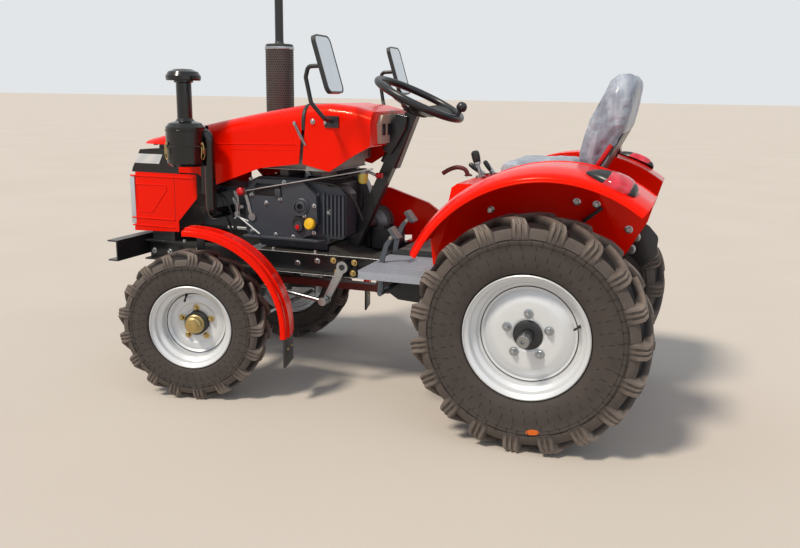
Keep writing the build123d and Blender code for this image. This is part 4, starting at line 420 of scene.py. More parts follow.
for paint, names in DRESS.items():
    for name in names:
        for place_in in nodes[name].material_slots:
            place_in.material = paint
undressed = sorted(set(nodes) - {n for names in DRESS.values() for n in names})
print("undressed solids", undressed)

# %% [markdown]
# ## Ways of making a shape
#
# A tractor is turned parts, bent sheet, rods and bolts, so a few small makers do nearly everything. Each
# gives a plain mesh whose place is already in its points, because a piece's object stays at the origin.

# %% From points to a riding piece


def piece(name, mesh, paint, body, sharp=38):
    """Puts a mesh in the scene, merges its doubles, turns its faces outwards and lets it ride on a body."""
    work = bmesh.new()
    work.from_mesh(mesh)
    bmesh.ops.remove_doubles(work, verts=work.verts, dist=2e-6)
    bmesh.ops.recalc_face_normals(work, faces=work.faces)
    for face in work.faces:
        face.smooth = True
    work.to_mesh(mesh)
    work.free()
    mesh.set_sharp_from_angle(angle=radians(sharp))
    mesh.materials.clear()
    mesh.materials.append(paint)
    made = bpy.data.objects.new(name, mesh)
    scene.collection.objects.link(made)
    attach(made, body)
    return made


def as_mesh(name, points, faces, place=Matrix()):
    """Mesh from local points in millimetres, put in place."""
    mesh = bpy.data.meshes.new(name)
    mesh.from_pydata([place @ (Vector(p) / 1000) for p in points], [], faces)
    return mesh


def joined(name, meshes):
    """Several meshes as one."""
    work = bmesh.new()
    for mesh in meshes:
        work.from_mesh(mesh)
    made = bpy.data.meshes.new(name)
    work.to_mesh(made)
    work.free()
    return made


def frame_of(origin, z_axis, x_hint=(0, 0, 1)):
    """Placing matrix with its Z along a direction and its X as near as it can to a hint."""
    z = Vector(z_axis).normalized()
    x = Vector(x_hint)
    x = (x - z * x.dot(z)).normalized()
    turn = Matrix((x, z.cross(x), z)).transposed().to_4x4()
    return Matrix.Translation(origin) @ turn


# %% Turned parts


def lathe(profile, place=Matrix(), steps=64, closed=True):
    """Spins (radius, height) points about local Z. An open profile starts and ends on the axis."""
    points, faces, rings = [], [], []
    for radius, height in profile:
        if radius < 1e-6:
            rings.append([len(points)])
            points.append((0, 0, height))
        else:
            rings.append(list(range(len(points), len(points) + steps)))
            points += [(radius * cos(2 * pi * i / steps), radius * sin(2 * pi * i / steps), height)
                       for i in range(steps)]
    pairs = list(zip(rings, rings[1:] + rings[:1])) if closed else list(zip(rings, rings[1:]))
    for low, high in pairs:
        for i in range(steps):
            j = (i + 1) % steps
            quad = [low[i % len(low)], low[j % len(low)], high[j % len(high)], high[i % len(high)]]
            quad = list(dict.fromkeys(quad))
            if len(quad) > 2:
                faces.append(quad)
    return as_mesh("turned", points, faces, place)


def eased(points, radius, steps=4, closed=True):
    """Rounds the corners of a flat outline or of a path, in millimetres."""
    made = []
    count = len(points)
    for i, corner in enumerate(points):
        here = Vector(corner)
        if not closed and i in (0, count - 1):
            made.append(tuple(here))
            continue
        before, after = Vector(points[i - 1]) - here, Vector(points[(i + 1) % count]) - here
        reach = min(radius, 0.48 * before.length, 0.48 * after.length)
        start, end = here + before.normalized() * reach, here + after.normalized() * reach
        for k in range(steps + 1):
            t = k / steps
            made.append(tuple(start * (1 - t) ** 2 + here * 2 * t * (1 - t) + end * t * t))
    return made


def sheet_profile(line, thick):
    """Closed outline of a sheet whose middle follows a line of (radius, height) points."""
    ahead, back = [], []
    for i, (x, y) in enumerate(line):
        x0, y0 = line[max(i - 1, 0)]
        x1, y1 = line[min(i + 1, len(line) - 1)]
        length = sqrt((x1 - x0) ** 2 + (y1 - y0) ** 2) or 1
        nx, ny = -(y1 - y0) / length * thick / 2, (x1 - x0) / length * thick / 2
        ahead.append((x + nx, y + ny))
        back.append((x - nx, y - ny))
    return ahead + back[::-1]


# %% Plates, rods and strips


def plate(outline, thick, place=Matrix(), edge=1.0):
    """Flat part cut from an outline, local z from 0 to its thickness, with eased edges."""
    work = bmesh.new()
    face = work.faces.new([work.verts.new((x, y, 0)) for x, y in outline])
    grown = bmesh.ops.extrude_face_region(work, geom=[face])
    bmesh.ops.translate(work, vec=(0, 0, thick),
                        verts=[v for v in grown["geom"] if isinstance(v, bmesh.types.BMVert)])
    bmesh.ops.recalc_face_normals(work, faces=work.faces)
    if edge:
        rims = [e for e in work.edges if e.is_manifold and e.calc_face_angle(0) > radians(60)]
        bmesh.ops.bevel(work, geom=rims, offset=edge, segments=2, affect="EDGES", profile=0.5)
    bmesh.ops.scale(work, vec=(0.001,) * 3, verts=work.verts)
    bmesh.ops.transform(work, matrix=place, verts=work.verts)
    mesh = bpy.data.meshes.new("plate")
    work.to_mesh(mesh)
    work.free()
    return mesh


def block(size, place=Matrix(), edge=2.0):
    """Box with eased edges, centred in plan on its place and rising along local z."""
    x, y, z = size
    return plate([(-x / 2, -y / 2), (x / 2, -y / 2), (x / 2, y / 2), (-x / 2, y / 2)], z, place, edge)


def sweep(path, section, closed=False, tilt=(0, 0, 1)):
    """Carries a closed section, points across and up in mm, along a path of row-frame points."""
    points, faces = [], []
    count, size = len(path), len(section)
    side = None
    for i, here in enumerate(path):
        before = path[i - 1] if i or closed else here
        after = path[(i + 1) % count] if i < count - 1 or closed else here
        along = (after - before).normalized()
        if side is None:
            side = along.cross(Vector(tilt))
            if side.length < 1e-3:
                side = along.cross(Vector((0, 1, 0)))
        side = (side - along * side.dot(along)).normalized()
        high = side.cross(along)
        points += [here + (side * u + high * v) / 1000 for u, v in section]
    for i in range(count if closed else count - 1):
        for k in range(size):
            a, b = i * size + k, i * size + (k + 1) % size
            c = (i + 1) % count * size
            faces.append((a, b, c + (k + 1) % size, c + k))
    if not closed:
        faces += [tuple(range(size))[::-1], tuple(range((count - 1) * size, count * size))]
    mesh = bpy.data.meshes.new("sweep")
    mesh.from_pydata(points, [], faces)
    return mesh


def circle(radius, sides=14):
    """Round section for a rod or tube."""
    return [(radius * cos(2 * pi * i / sides), radius * sin(2 * pi * i / sides)) for i in range(sides)]


def rod(places, radius, bend=0.0):
    """Round bar along drawing places, its bends eased to a radius in mm."""
    line = [tuple(at(*p) * 1000) for p in places]
    if bend:
        line = eased(line, bend, 6, closed=False)
    return sweep([Vector(p) / 1000 for p in line], circle(radius))


def hexagon(across, thick, place=Matrix()):
    """Bolt head or nut with its top corners turned off."""
    r = across / sqrt(3)
    low = [(r * cos(pi / 3 * i), r * sin(pi / 3 * i), 0) for i in range(6)]
    mid = [(x, y, thick * 0.8) for x, y, _ in low]
    top = [(x * 0.86, y * 0.86, thick) for x, y, _ in low]
    faces = [tuple(range(5, -1, -1)), tuple(range(12, 18))]
    for i in range(6):
        j = (i + 1) % 6
        faces += [(i, j, j + 6, i + 6), (i + 6, j + 6, j + 12, i + 12)]
    return as_mesh("hex", low + mid + top, faces, place)


# %% [markdown]
# What repeats is grown by Geometry Nodes. One tree turns and climbs: it sets copies of a seed round an
# axle, ring above ring, and serves for lugs, wheel nuts, sidewall ticks and the exhaust's perforations.
# The other lays them in rows. Both end in Realize Instances and Set Material, and the evaluated result
# is taken out as a plain mesh.

# %% Two trees for repeats


def new_tree(name, inputs):
    """Empty geometry tree with a geometry input and output and the named inputs."""
    tree = bpy.data.node_groups.new(name, "GeometryNodeTree")
    tree.interface.new_socket("Seed", in_out="INPUT", socket_type="NodeSocketGeometry")
    for label, kind in inputs:
        tree.interface.new_socket(label, in_out="INPUT", socket_type=kind)
    tree.interface.new_socket("Result", in_out="OUTPUT", socket_type="NodeSocketGeometry")
    return tree, add(tree, "NodeGroupInput").outputs


def end_tree(tree, given, count, position, turn):
    """Sets the seed on every point and closes the tree."""
    cloud = add(tree, "GeometryNodePoints", {"Count": count, "Position": position})
    rotation = add(tree, "FunctionNodeEulerToRotation", {0: turn})
    copies = add(tree, "GeometryNodeInstanceOnPoints", {"Points": cloud.outputs[0],
                                                        "Instance": given["Seed"],
                                                        "Rotation": rotation.outputs[0]})
    real = add(tree, "GeometryNodeRealizeInstances", {0: copies.outputs[0]})
    painted = add(tree, "GeometryNodeSetMaterial", {"Geometry": real.outputs[0],
                                                    "Material": given["Finish"]})
    add(tree, "NodeGroupOutput", {0: painted.outputs[0]})


turning, given = new_tree("turn_and_climb", (
    ("Round", "NodeSocketInt"), ("Rings", "NodeSocketInt"), ("Rise", "NodeSocketFloat"),
    ("Start", "NodeSocketFloat"), ("Stagger", "NodeSocketFloat"), ("Finish", "NodeSocketMaterial")))
index = add(turning, "GeometryNodeInputIndex").outputs[0]
share = add(turning, "ShaderNodeMath", {0: index, 1: given["Round"]}, operation="DIVIDE")
ring_number = add(turning, "ShaderNodeMath", {0: share.outputs[0]}, operation="FLOOR").outputs[0]
step = add(turning, "ShaderNodeMath", {0: 2 * pi, 1: given["Round"]}, operation="DIVIDE").outputs[0]
place_in_ring = add(turning, "ShaderNodeMath", {0: ring_number, 1: given["Stagger"], 2: index},
                    operation="MULTIPLY_ADD").outputs[0]
angle = add(turning, "ShaderNodeMath", {0: step, 1: place_in_ring, 2: given["Start"]},
            operation="MULTIPLY_ADD").outputs[0]
height = add(turning, "ShaderNodeMath", {0: ring_number, 1: given["Rise"]}, operation="MULTIPLY").outputs[0]
count = add(turning, "ShaderNodeMath", {0: given["Round"], 1: given["Rings"]},
            operation="MULTIPLY").outputs[0]
end_tree(turning, given, count, add(turning, "ShaderNodeCombineXYZ", {2: height}).outputs[0],
         add(turning, "ShaderNodeCombineXYZ", {2: angle}).outputs[0])

rows, given = new_tree("rows_and_columns", (
    ("Across", "NodeSocketInt"), ("Rows", "NodeSocketInt"), ("Column step", "NodeSocketFloat"),
    ("Row step", "NodeSocketFloat"), ("Turn", "NodeSocketFloat"), ("Finish", "NodeSocketMaterial")))
index = add(rows, "GeometryNodeInputIndex").outputs[0]
share = add(rows, "ShaderNodeMath", {0: index, 1: given["Across"]}, operation="DIVIDE")
row = add(rows, "ShaderNodeMath", {0: share.outputs[0]}, operation="FLOOR").outputs[0]
passed = add(rows, "ShaderNodeMath", {0: row, 1: given["Across"]}, operation="MULTIPLY")
column = add(rows, "ShaderNodeMath", {0: index, 1: passed.outputs[0]}, operation="SUBTRACT").outputs[0]
both = add(rows, "ShaderNodeMath", {0: row, 1: column}, operation="ADD")
odd = add(rows, "ShaderNodeMath", {0: both.outputs[0], 1: 2.0}, operation="FLOORED_MODULO").outputs[0]
x = add(rows, "ShaderNodeMath", {0: column, 1: given["Column step"]}, operation="MULTIPLY").outputs[0]
y = add(rows, "ShaderNodeMath", {0: row, 1: given["Row step"]}, operation="MULTIPLY").outputs[0]
turned = add(rows, "ShaderNodeMath", {0: odd, 1: given["Turn"]}, operation="MULTIPLY").outputs[0]
count = add(rows, "ShaderNodeMath", {0: given["Across"], 1: given["Rows"]}, operation="MULTIPLY").outputs[0]
end_tree(rows, given, count, add(rows, "ShaderNodeCombineXYZ", {0: x, 1: y}).outputs[0],
         add(rows, "ShaderNodeCombineXYZ", {2: turned}).outputs[0])


def grown(name, seed, tree, place, paint, **values):
    """Mesh of a seed repeated by a tree. The inputs are set by their sockets' identifiers."""
    holder = bpy.data.objects.new(name, seed)
    scene.collection.objects.link(holder)
    modifier = holder.modifiers.new("repeat", "NODES")
    modifier.node_group = tree
    values["Finish"] = paint
    for socket in tree.interface.items_tree:
        if socket.in_out == "INPUT" and socket.name in values:
            modifier[socket.identifier] = values[socket.name]
    holder.update_tag()
    state = bpy.context.evaluated_depsgraph_get()
    mesh = bpy.data.meshes.new_from_object(holder.evaluated_get(state))
    holder.modifiers.remove(modifier)
    bpy.data.objects.remove(holder)
    mesh.transform(place)
    return mesh


def ring_of(name, seed, count, place, paint, start=0.0, rings=1, rise=0.0, stagger=0.0):
    """Seed repeated round local Z; start in degrees, rise in mm."""
    return grown(name, seed, turning, place, paint, Round=count, Rings=rings, Rise=rise / 1000,
                 Start=radians(start), Stagger=stagger)


def rows_of(name, seed, across, count, steps, place, paint, turn=0.0):
    """Seed repeated in rows; steps in mm, turn in degrees for every other copy."""
    return grown(name, seed, rows, place, paint, Across=across, Rows=count, Turn=radians(turn),
                 **{"Column step": steps[0] / 1000, "Row step": steps[1] / 1000})


print("trees", [t.name for t in bpy.data.node_groups])

# %% [markdown]
# ## Wheels
#
# The tyres are what the eye goes to first, so they take the most care. A field tyre is a smooth carcass
# with deep bars moulded on it. Each bar starts as a square foot on the shoulder, where two slots are
# cut, climbs over it, and sweeps forward to the middle of the tread. One bar is drawn point by point,
# and the tree sets it round the carcass, once for each side and half a step apart.

# %% Where the wheels stand
SIDES = (("left", 1), ("right", -1))
STEER_REST = radians(12.5)
REAR_WHEEL_OUT, REAR_WHEEL_UP = 457, 411.145
FRONT_WHEEL_OUT, FRONT_WHEEL_UP = 458.2, 297.461
FRONT_WHEEL_AHEAD = {"left": 1339.8, "right": 1372.2}  # unlike, because the wheels stand steered
REAR, FRONT = {}, {}
for side_name, way in SIDES:
    REAR[side_name] = frame_of(at(0, way * REAR_WHEEL_OUT, REAR_WHEEL_UP), (0, way, 0), (-way, 0, 0))
    FRONT[side_name] = frame_of(
        at(FRONT_WHEEL_AHEAD[side_name], way * FRONT_WHEEL_OUT, FRONT_WHEEL_UP),
        (-way * sin(STEER_REST), way * cos(STEER_REST), 0), (-way * cos(STEER_REST), -way * sin(STEER_REST),
                                                             0))
print("front wheels at", [[round(v, 3) for v in FRONT[s].translation] for s, _ in SIDES])

# %% Carcass and bars


def carcass_line(crown, half, bead, flange):
    """Half section of the carcass as (radius, height out), from the bead to the middle of the tread."""
    deep = crown - bead
    top = (flange - bead) / deep
    shares = ((0, 0.60), (0, 0.67), (top + 0.004, 0.68), (top + 0.03, 0.83), (0.20, 0.925), (0.36, 0.985),
              (0.52, 1.0), (0.67, 0.982), (0.69, 1.0), (0.72, 1.0), (0.74, 0.968), (0.86, 0.90),
              (0.94, 0.80), (0.985, 0.62), (1, 0.36), (1, 0.12))
    return [(bead + deep * r, half * z) for r, z in shares]


def width_at(line, radius):
    """How far out the sidewall stands at a radius."""
    for (r0, z0), (r1, z1) in zip(line, line[1:]):
        if r0 <= radius <= r1 and r1 > r0:
            return z0 + (z1 - z0) * (radius - r0) / (r1 - r0)
    return line[-1][1]


def tread_bar(outer, crown, half, wide, sweep_deg, way):
    """One bar as a mesh about local X: stations from its foot on the shoulder to the tread's middle."""
    deep = outer - crown
    # station: base radius, base height out, top radius, top height out, half width, slot depth
    stations = (
        (crown * 0.880, 0.975, crown * 0.884, 0.995, 1.00, 0.0),
        (crown * 0.905, 0.945, crown * 0.915, 1.000, 1.04, 0.16),
        (crown * 0.945, 0.900, crown * 0.960, 0.990, 1.06, 0.22),
        (crown * 0.975, 0.830, crown + deep * 0.45, 0.955, 1.02, 0.20),
        (crown * 0.988, 0.720, crown + deep * 0.90, 0.860, 0.94, 0.06),
        (crown * 0.994, 0.600, outer - deep * 0.02, 0.720, 0.86, 0.0),
        (crown * 0.996, 0.400, outer, 0.480, 0.76, 0.0),
        (crown * 0.996, 0.200, outer, 0.240, 0.68, 0.0),
        (crown * 0.996, 0.010, outer - deep * 0.02, 0.020, 0.60, 0.0))
    across = (-1.30, -1.0, -0.62, -0.54, -0.20, -0.12, 0.12, 0.20, 0.54, 0.62, 1.0, 1.30)
    slots = (0, 0, 0, 1, 1, 0, 0, 1, 1, 0, 0, 0)
    points, faces = [], []
    for base_r, base_z, top_r, top_z, width, slot in stations:
        lag = radians(sweep_deg) * (1 - min(top_z / 0.955, 1.0)) ** 1.15 * way
        for k, (u, cut) in enumerate(zip(across, slots)):
            sink = 1.0 if k in (0, len(across) - 1) else cut * slot * 3
            r = top_r + (base_r - top_r) * sink
            z = (top_z + (base_z - top_z) * sink) * half
            angle = lag + u * width * wide / 2 / r
            points.append((r * cos(angle), r * sin(angle), z))
    size = len(across)
    for i in range(len(stations) - 1):
        for k in range(size - 1):
            a = i * size + k
            faces.append((a, a + 1, a + size + 1, a + size))
        a = i * size
        faces.append((a + size - 1, a, a + size, a + 2 * size - 1))
    faces += [tuple(range(size)), tuple(range((len(stations) - 1) * size, len(stations) * size))[::-1]]
    return points, faces


def dust_and_shade(place, line, bead, crown, outer):
    """Dust of a tyre point: near zero, painted as shade, between the lugs, some on the wall, most on the
    tread.
    """
    radius = sqrt(place.x ** 2 + place.y ** 2) * 1000
    share = (radius - bead) / (crown - bead)
    if share < 0.76:
        return 0.45
    above = max(radius - crown, abs(place.z) * 1000 - width_at(line, min(radius, crown)))
    if above < 2.5:
        return 0.45 * max(0.0, 1 - (share - 0.76) / 0.1)
    return min(1.0, 0.5 + 0.5 * above / (outer - crown))


def field_tyre(name, body, place, outer, half, bead, flange, bars, bar_high, bar_wide, sweep_deg, way, node):
    """A whole tyre, with its attribute reach for the dust and the painted shade."""
    crown = outer - bar_high
    line = carcass_line(crown, half, bead, flange)
    profile = line + [(r, -z) for r, z in reversed(line)]
    parts = [lathe(profile, steps=120, closed=True)]
    points, faces = tread_bar(outer, crown, half, bar_wide, sweep_deg, way)
    for face, start in ((1, 0.0), (-1, 180 / bars)):
        seed = as_mesh("bar", [(x, y, z * face) for x, y, z in points], faces)
        parts.append(ring_of("bars", seed, bars, Matrix(), tyre_rubber, start=start))
    # flat raised pads on the shoulder between the feet of the bars
    span = pi / bars - bar_wide / 2 / (crown * 0.92) - 0.012
    low_r, high_r = bead + (crown - bead) * 0.76, bead + (crown - bead) * 0.955
    for face, start in ((1, 180 / bars), (-1, 0.0)):
        grid, faces = [], []
        for lift_all in (1, 0):
            for i in range(7):
                r = low_r + (high_r - low_r) * (0, 0.06, 0.3, 0.5, 0.7, 0.94, 1)[i]
                for k in range(6):
                    a = span * (-1, -0.93, -0.4, 0.4, 0.93, 1)[k]
                    rise = (4.5 if 0 < i < 6 and 0 < k < 5 else -0.5) if lift_all else -4
                    tilt = 0.55 if r > low_r + (high_r - low_r) * 0.45 else 0.1
                    rr = r + rise * tilt
                    out = width_at(line, r) + rise * (1 - tilt * 0.5)
                    grid.append((rr * cos(a), rr * sin(a), face * out))
        for i in range(6):
            for k in range(5):
                a = i * 6 + k
                faces += [(a, a + 1, a + 7, a + 6), (a + 42, a + 48, a + 49, a + 43)]
        border = list(range(6)) + [i * 6 + 5 for i in range(1, 7)]
        border += [36 + k for k in range(4, -1, -1)] + [i * 6 for i in range(5, 0, -1)]
        for a, b in zip(border, border[1:] + border[:1]):
            faces.append((a, b, b + 42, a + 42))
        parts.append(ring_of("pads", as_mesh("pad", grid, faces), bars, Matrix(), tyre_rubber, start=start))
    # dark ticks across the sidewall, where the mould's segments met, and one fine line round it
    marks = []
    for face in (1, -1):
        for share, count, long in ((0.30, 40, 15), (0.46, 44, 22), (0.60, 40, 14), (0.705, 56, 24)):
            radius = bead + (crown - bead) * share
            foot = Vector((radius, 0, face * (width_at(line, radius) - 0.3))) / 1000
            tick = block((long * outer / 412, 2.0, 1.1), frame_of(foot, (0, 0, face), (1, 0, 0)), 0.3)
            marks.append(ring_of("ticks", tick, count, Matrix(), cut_rubber, start=7 * share))
        radius = bead + (crown - bead) * 0.66
        marks.append(lathe([(radius - 0.9, face * (width_at(line, radius) - 0.6)),
                            (radius, face * (width_at(line, radius) + 0.9)),
                            (radius + 0.9, face * (width_at(line, radius) - 0.6))], steps=120))
    marked = joined("marks", marks)
    marked.transform(place)
    piece(name + "_marks", marked, cut_rubber, body)
    mesh = joined(name, parts)
    reach = mesh.attributes.new("reach", "FLOAT", "POINT")
    reach.data.foreach_set("value", [dust_and_shade(v.co, line, bead, crown, outer) for v in mesh.vertices])
    mesh.transform(place)
    made = piece(name, mesh, tyre_rubber, body, sharp=32)
    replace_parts(made, node)


# outer radius, half width, bead and flange radius, bars, and the bars' height, width and sweep in degrees
TYRES = (("rear", REAR, (410.5, 102.3, 203, 219.5, 19, 27, 46, 13.5)),
         ("front", FRONT, (297.1, 72.3, 152.5, 168, 17, 20, 36, 15)))
for side_name, way in SIDES:
    for end_name, places, sizes in TYRES:
        field_tyre(f"field_tyre_{end_name}_{side_name}", f"{end_name}_wheel_{side_name}", places[side_name],
                   *sizes, way, f"tyre_{end_name}_{side_name}")

# %% [markdown]
# The rims are rolled steel with a drop centre and a dished disc welded inside. A lathe draws them from
# the line a roller would follow, given the sheet's thickness. Behind the disc's edge a thin black ring
# paints the shade in the gap, which is what makes the two parts read as two parts.

# %% Rims and hubs


def rim(name, body, place, flange, bead, half, disc, nut, node):
    """Rolled rim and disc; disc is the middle line of the pressing as (radius, height out)."""
    seat, drop = half - 11, bead - 19
    roll = [(flange - 5, half + 0.5), (flange - 1.5, half - 1.5), (flange - 2.5, seat + 5), (bead + 4, seat),
            (bead - 2, seat - 5), (bead - 2, seat * 0.62), (drop - 2, seat * 0.42), (drop - 2, -seat * 0.42),
            (bead - 2, -seat * 0.62), (bead - 2, -seat + 5), (bead + 4, -seat), (flange - 2.5, -seat - 5),
            (flange - 1.5, -half + 1.5), (flange - 5, -half - 0.5)]
    roll = eased(roll, 7, 4, closed=False)
    pressed = sheet_profile(eased(disc, 9, 5, closed=False), 4.2)
    parts = [lathe(sheet_profile(roll, 3.6), place, 128), lathe(pressed, place, 128)]
    made = piece(name, joined(name, parts), wheel_silver, body)
    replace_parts(made, node)
    # a ring of shade black: painted shade in the gap behind the disc's edge
    edge_r, edge_z = disc[1]
    gap_shade = lathe([(edge_r + 1.5 * cos(a), edge_z + 4 + 1.5 * sin(a))
                  for a in (2 * pi * i / 8 for i in range(8))], place, steps=96)
    piece(name + "_weld", gap_shade, shade_black, body)
    bolt_r, bolt_z, across, finish_of = nut
    washer_at = Matrix.Translation(Vector((bolt_r, 0, bolt_z)) / 1000)
    nut_at = Matrix.Translation(Vector((bolt_r, 0, bolt_z + 2.4)) / 1000)
    seed = joined("nut", [
        lathe([(0, 0), (across * 0.78, 0), (across * 0.78, 1.6), (across * 0.7, 2.4), (0, 2.4)], washer_at,
              20,
              closed=False),
        hexagon(across, across * 0.62, nut_at),
        lathe([(0, 0), (across * 0.28, 0), (across * 0.28, across * 0.95), (across * 0.2, across),
               (0, across)], nut_at, 12, closed=False)])
    piece(name + "_nuts", ring_of("nuts", seed, 5, place, finish_of, start=18), finish_of, body)


REAR_DISC = ((186, 17), (168, 17), (160, 13), (148, 20), (118, 33), (92, 34), (60, 34), (53, 30))
FRONT_DISC = ((135, -12), (122, -12), (114, -20), (104, -17), (86, -15), (80, -19), (60, -19), (51, -21))
for side_name, way in SIDES:
    body = "rear_wheel_" + side_name
    place = REAR[side_name]
    rim("rim_rear_" + side_name, body, place, 219.5, 203, 81.5, REAR_DISC, (76, 36, 22, zinc),
        "wheel_rear_" + side_name)
    hub = lathe([(0, -60), (30, -60), (30, -8), (50, -6), (51, 28), (50, 36), (44, 39), (24, 39), (24, 34),
                 (0, 34)], place, steps=64, closed=False)
    piece("hub_rear_" + side_name, hub, enamel_black, body)
    stub = lathe([(0, 30), (22, 30), (22, 121), (19.5, 124), (7, 124), (5, 118), (0, 116)], place, steps=48,
                 closed=False)
    key = block((7, 5, 60), place @ Matrix.Translation(Vector((0, 21.2, 62)) / 1000), edge=0.8)
    piece("stub_rear_" + side_name, joined("stub", [stub, key]), bare_steel, body)

    body = "front_wheel_" + side_name
    place = FRONT[side_name]
    rim("rim_front_" + side_name, body, place, 168, 152.5, 62.5, FRONT_DISC, (63, -16, 17, yellow_zinc),
        "wheel_front_" + side_name)
    drum = lathe([(16, -38), (40, -38), (40, -30), (48, -26), (48, -4), (44, 2), (16, 2)], place, steps=56)
    piece("hub_front_" + side_name, drum, cast_dark, body)
    cap = lathe([(0, 2), (38, 2), (38, 9), (34, 12), (34, 30), (31, 34), (27, 36), (27, 42), (25, 44.5),
                 (0, 44.5)], place, steps=56, closed=False)
    piece("hub_cap_" + side_name, cap, brass_cap, body)
    castle = hexagon(44, 4.0, place @ Matrix.Translation((0, 0, 0.044)))
    piece("hub_nut_" + side_name, castle, yellow_zinc, body)
    # tyre valves: a short rubber stem with its cap, leaning out of the well
    for where, tilt, r, z, turn, belongs in ((REAR[side_name], 0.4, 176, 22, 15, "rear_wheel_"),
                                             (FRONT[side_name], 0.5, 118, -6, 108, "front_wheel_")):
        spot = where @ Matrix.Rotation(radians(turn), 4, "Z") @ frame_of(
            Vector((r, 0, z)) / 1000, (-tilt, 0, 1), (0, 1, 0))
        stem = lathe([(0, -8), (6, -8), (5.2, 4), (3.6, 8), (3.4, 24), (4.2, 25), (4.2, 35), (3.4, 37),
                      (0, 37)], spot, steps=16, closed=False)
        piece(f"valve_{belongs}{side_name}", stem, trim_rubber, belongs + side_name)
# a plain oval tag, left blank, on the near rear tyre
line = carcass_line(384.5, 102.3, 203, 219.5)
tag_at = REAR["left"] @ frame_of(Vector((44, -320, width_at(line, 323) + 1)) / 1000, (0, 0, 1), (1, 0.14, 0))
tag = lathe([(0, -1), (17, -1), (18, 0.4), (17, 1.4), (0, 1.6)], tag_at @ Matrix.Diagonal((1.3, 0.55, 1, 1)),
            32, closed=False)
piece("tyre_tag", tag, orange_moulding, "rear_wheel_left")

# %% [markdown]
# ## Trims that follow the sheet metal
#
# Beads, rubber strips and folded edges have to lie exactly on the pressings. A ray is shot at the solid
# from outside, and where it lands is where the trim goes, so nothing floats and nothing is guessed.

# %% Rays on the solids
TREES = {}


def faces_of(node):
    """Search tree over a solid's faces, built once."""
    if node not in TREES:
        mesh = nodes[node].data
        TREES[node] = BVHTree.FromPolygons([v.co for v in mesh.vertices], [p.vertices for p in mesh.polygons])
    return TREES[node]


def skin(node, start, direction):
    """Point where a ray first meets a solid, or None; places in drawing mm."""
    return faces_of(node).ray_cast(at(*start), Vector(direction).normalized())[0]


def bead(points, radius, closed=False, flat=1.0):
    """Half-sunk ridge along points; flat squashes it against the sheet."""
    return sweep(points, [(x, y * flat) for x, y in circle(radius, 10)], closed)


def arc(centre, radius, start, end, left, count=40):
    """Places on an upright circle beside the machine; angles in degrees from ahead."""
    turns = [radians(start + (end - start) * i / (count - 1)) for i in range(count)]
    return [at(centre[0] + radius * cos(t), left, centre[1] + radius * sin(t)) for t in turns]


def facing(place, direction, hint=(0, 0, 1)):
    """Placing matrix at a drawing place, its Z along a direction."""
    return frame_of(at(*place), direction, hint)


def bolt(place, direction, across=13):
    """Hexagon head on its washer."""
    where = facing(place, direction, (0.3, 0.2, 1) if abs(direction[2]) < 0.9 else (1, 0, 0))
    return joined("bolt", [
        hexagon(across, across * 0.6, where @ Matrix.Translation((0, 0, 0.0018))),
        lathe([(0, -1), (across * 0.85, -1), (across * 0.85, 1.3), (across * 0.75, 2), (0, 2)], where, 20,
              closed=False)])


print("flank of the hood at", tuple(skin("hood", (1200, 500, 1000), (0, -1, 0))))

# %% [markdown]
# The hood closes against the cowl on a black rubber strip, held by a sprung latch on each side. Two
# shallow swages run back along its flank, and the nose has a pressed panel with beads over and under it.

# %% Hood, cowl and nose
strip = []
for i in range(61):
    turn = radians(-21 + 222 * i / 60)
    away = Vector((0, cos(turn), sin(turn)))
    hit = skin("hood", (974, 700 * cos(turn), 1000 + 700 * sin(turn)), -away)
    if hit:
        strip.append(Vector((at(966, 0, 0).x, hit.y, hit.z)) + away * 0.0005)
section = [(-7, -3), (7, -3), (7, 1.5), (5, 3), (1.5, 3.4), (-1.5, 3.4), (-5, 3), (-7, 1.5)]
piece("hood_strip", sweep(strip, [(y, x) for x, y in section], tilt=(1, 0, 0)), trim_rubber, "chassis")
swages = []
for way in (1, -1):
    for x0, z0, x1, z1, thick in ((1400, 997, 980, 1007, 2.6), (1300, 978, 980, 984, 1.6)):
        line = [skin("hood", (x0 + (x1 - x0) * i / 20, way * 500, z0 + (z1 - z0) * i / 20), (0, -way, 0))
                for i in range(21)]
        swages.append(bead([p for p in line if p], thick, flat=0.7))
piece("hood_swages", joined("swages", swages), enamel_red, "hood")

NOSE_SIDE = 230
nose, seams, silver = [], [], []
for way in (1, -1):
    y = way * NOSE_SIDE
    emboss = eased([(1762, y, 813), (1617, y, 816), (1608, y, 799), (1686, y, 697), (1765, y, 699)], 9, 5)
    nose.append(bead([at(*p) for p in emboss], 2.4, closed=True))
    for z, radius in ((669, 3.4), (636, 3.0)):
        nose.append(bead([at(1575, y, z), at(1700, y, z), at(1790, y, z)], radius))
    nose.append(bead([at(1470, y, 850), at(1600, y, 850), at(1790, y, 850)], 3.6))
    # the seams are thin rods in shade black: painted shade in the upright seam at the back of the nose panel
    seams.append(sweep([at(1571, y, z) for z in (862, 760, 668)], circle(0.9, 6)))
    silver.append(block((200, 22, 1.4), facing((1782, way * 229.4, 743), (0, way, 0), (0, 0, 1)), 0.5))
    silver.append(block((200, 50, 1.2), facing((1791.6, way * 203, 743), (1, 0, 0), (0, 0, 1)), 0.4))
piece("nose_beads", joined("nose_beads", nose), enamel_red, "chassis")
piece("nose_seams", joined("nose_seams", seams), shade_black, "chassis")
for z in (656, 662, 841):
    silver.append(block((3, 350, 2), facing((1791, 0, z), (1, 0, 0), (0, 0, 1)), 0.4))
piece("grille_surround", joined("surround", silver), grille_silver, "chassis")
fin = block((250, 0.8, 8), facing((1700, -205, 720), (1, 0, 0), (0, 0, 1)), 0)
fins = rows_of("fins", fin, 1, 75, (0, 5.54), Matrix(), radiator_core)
piece("radiator_fins", fins, radiator_core, "chassis")

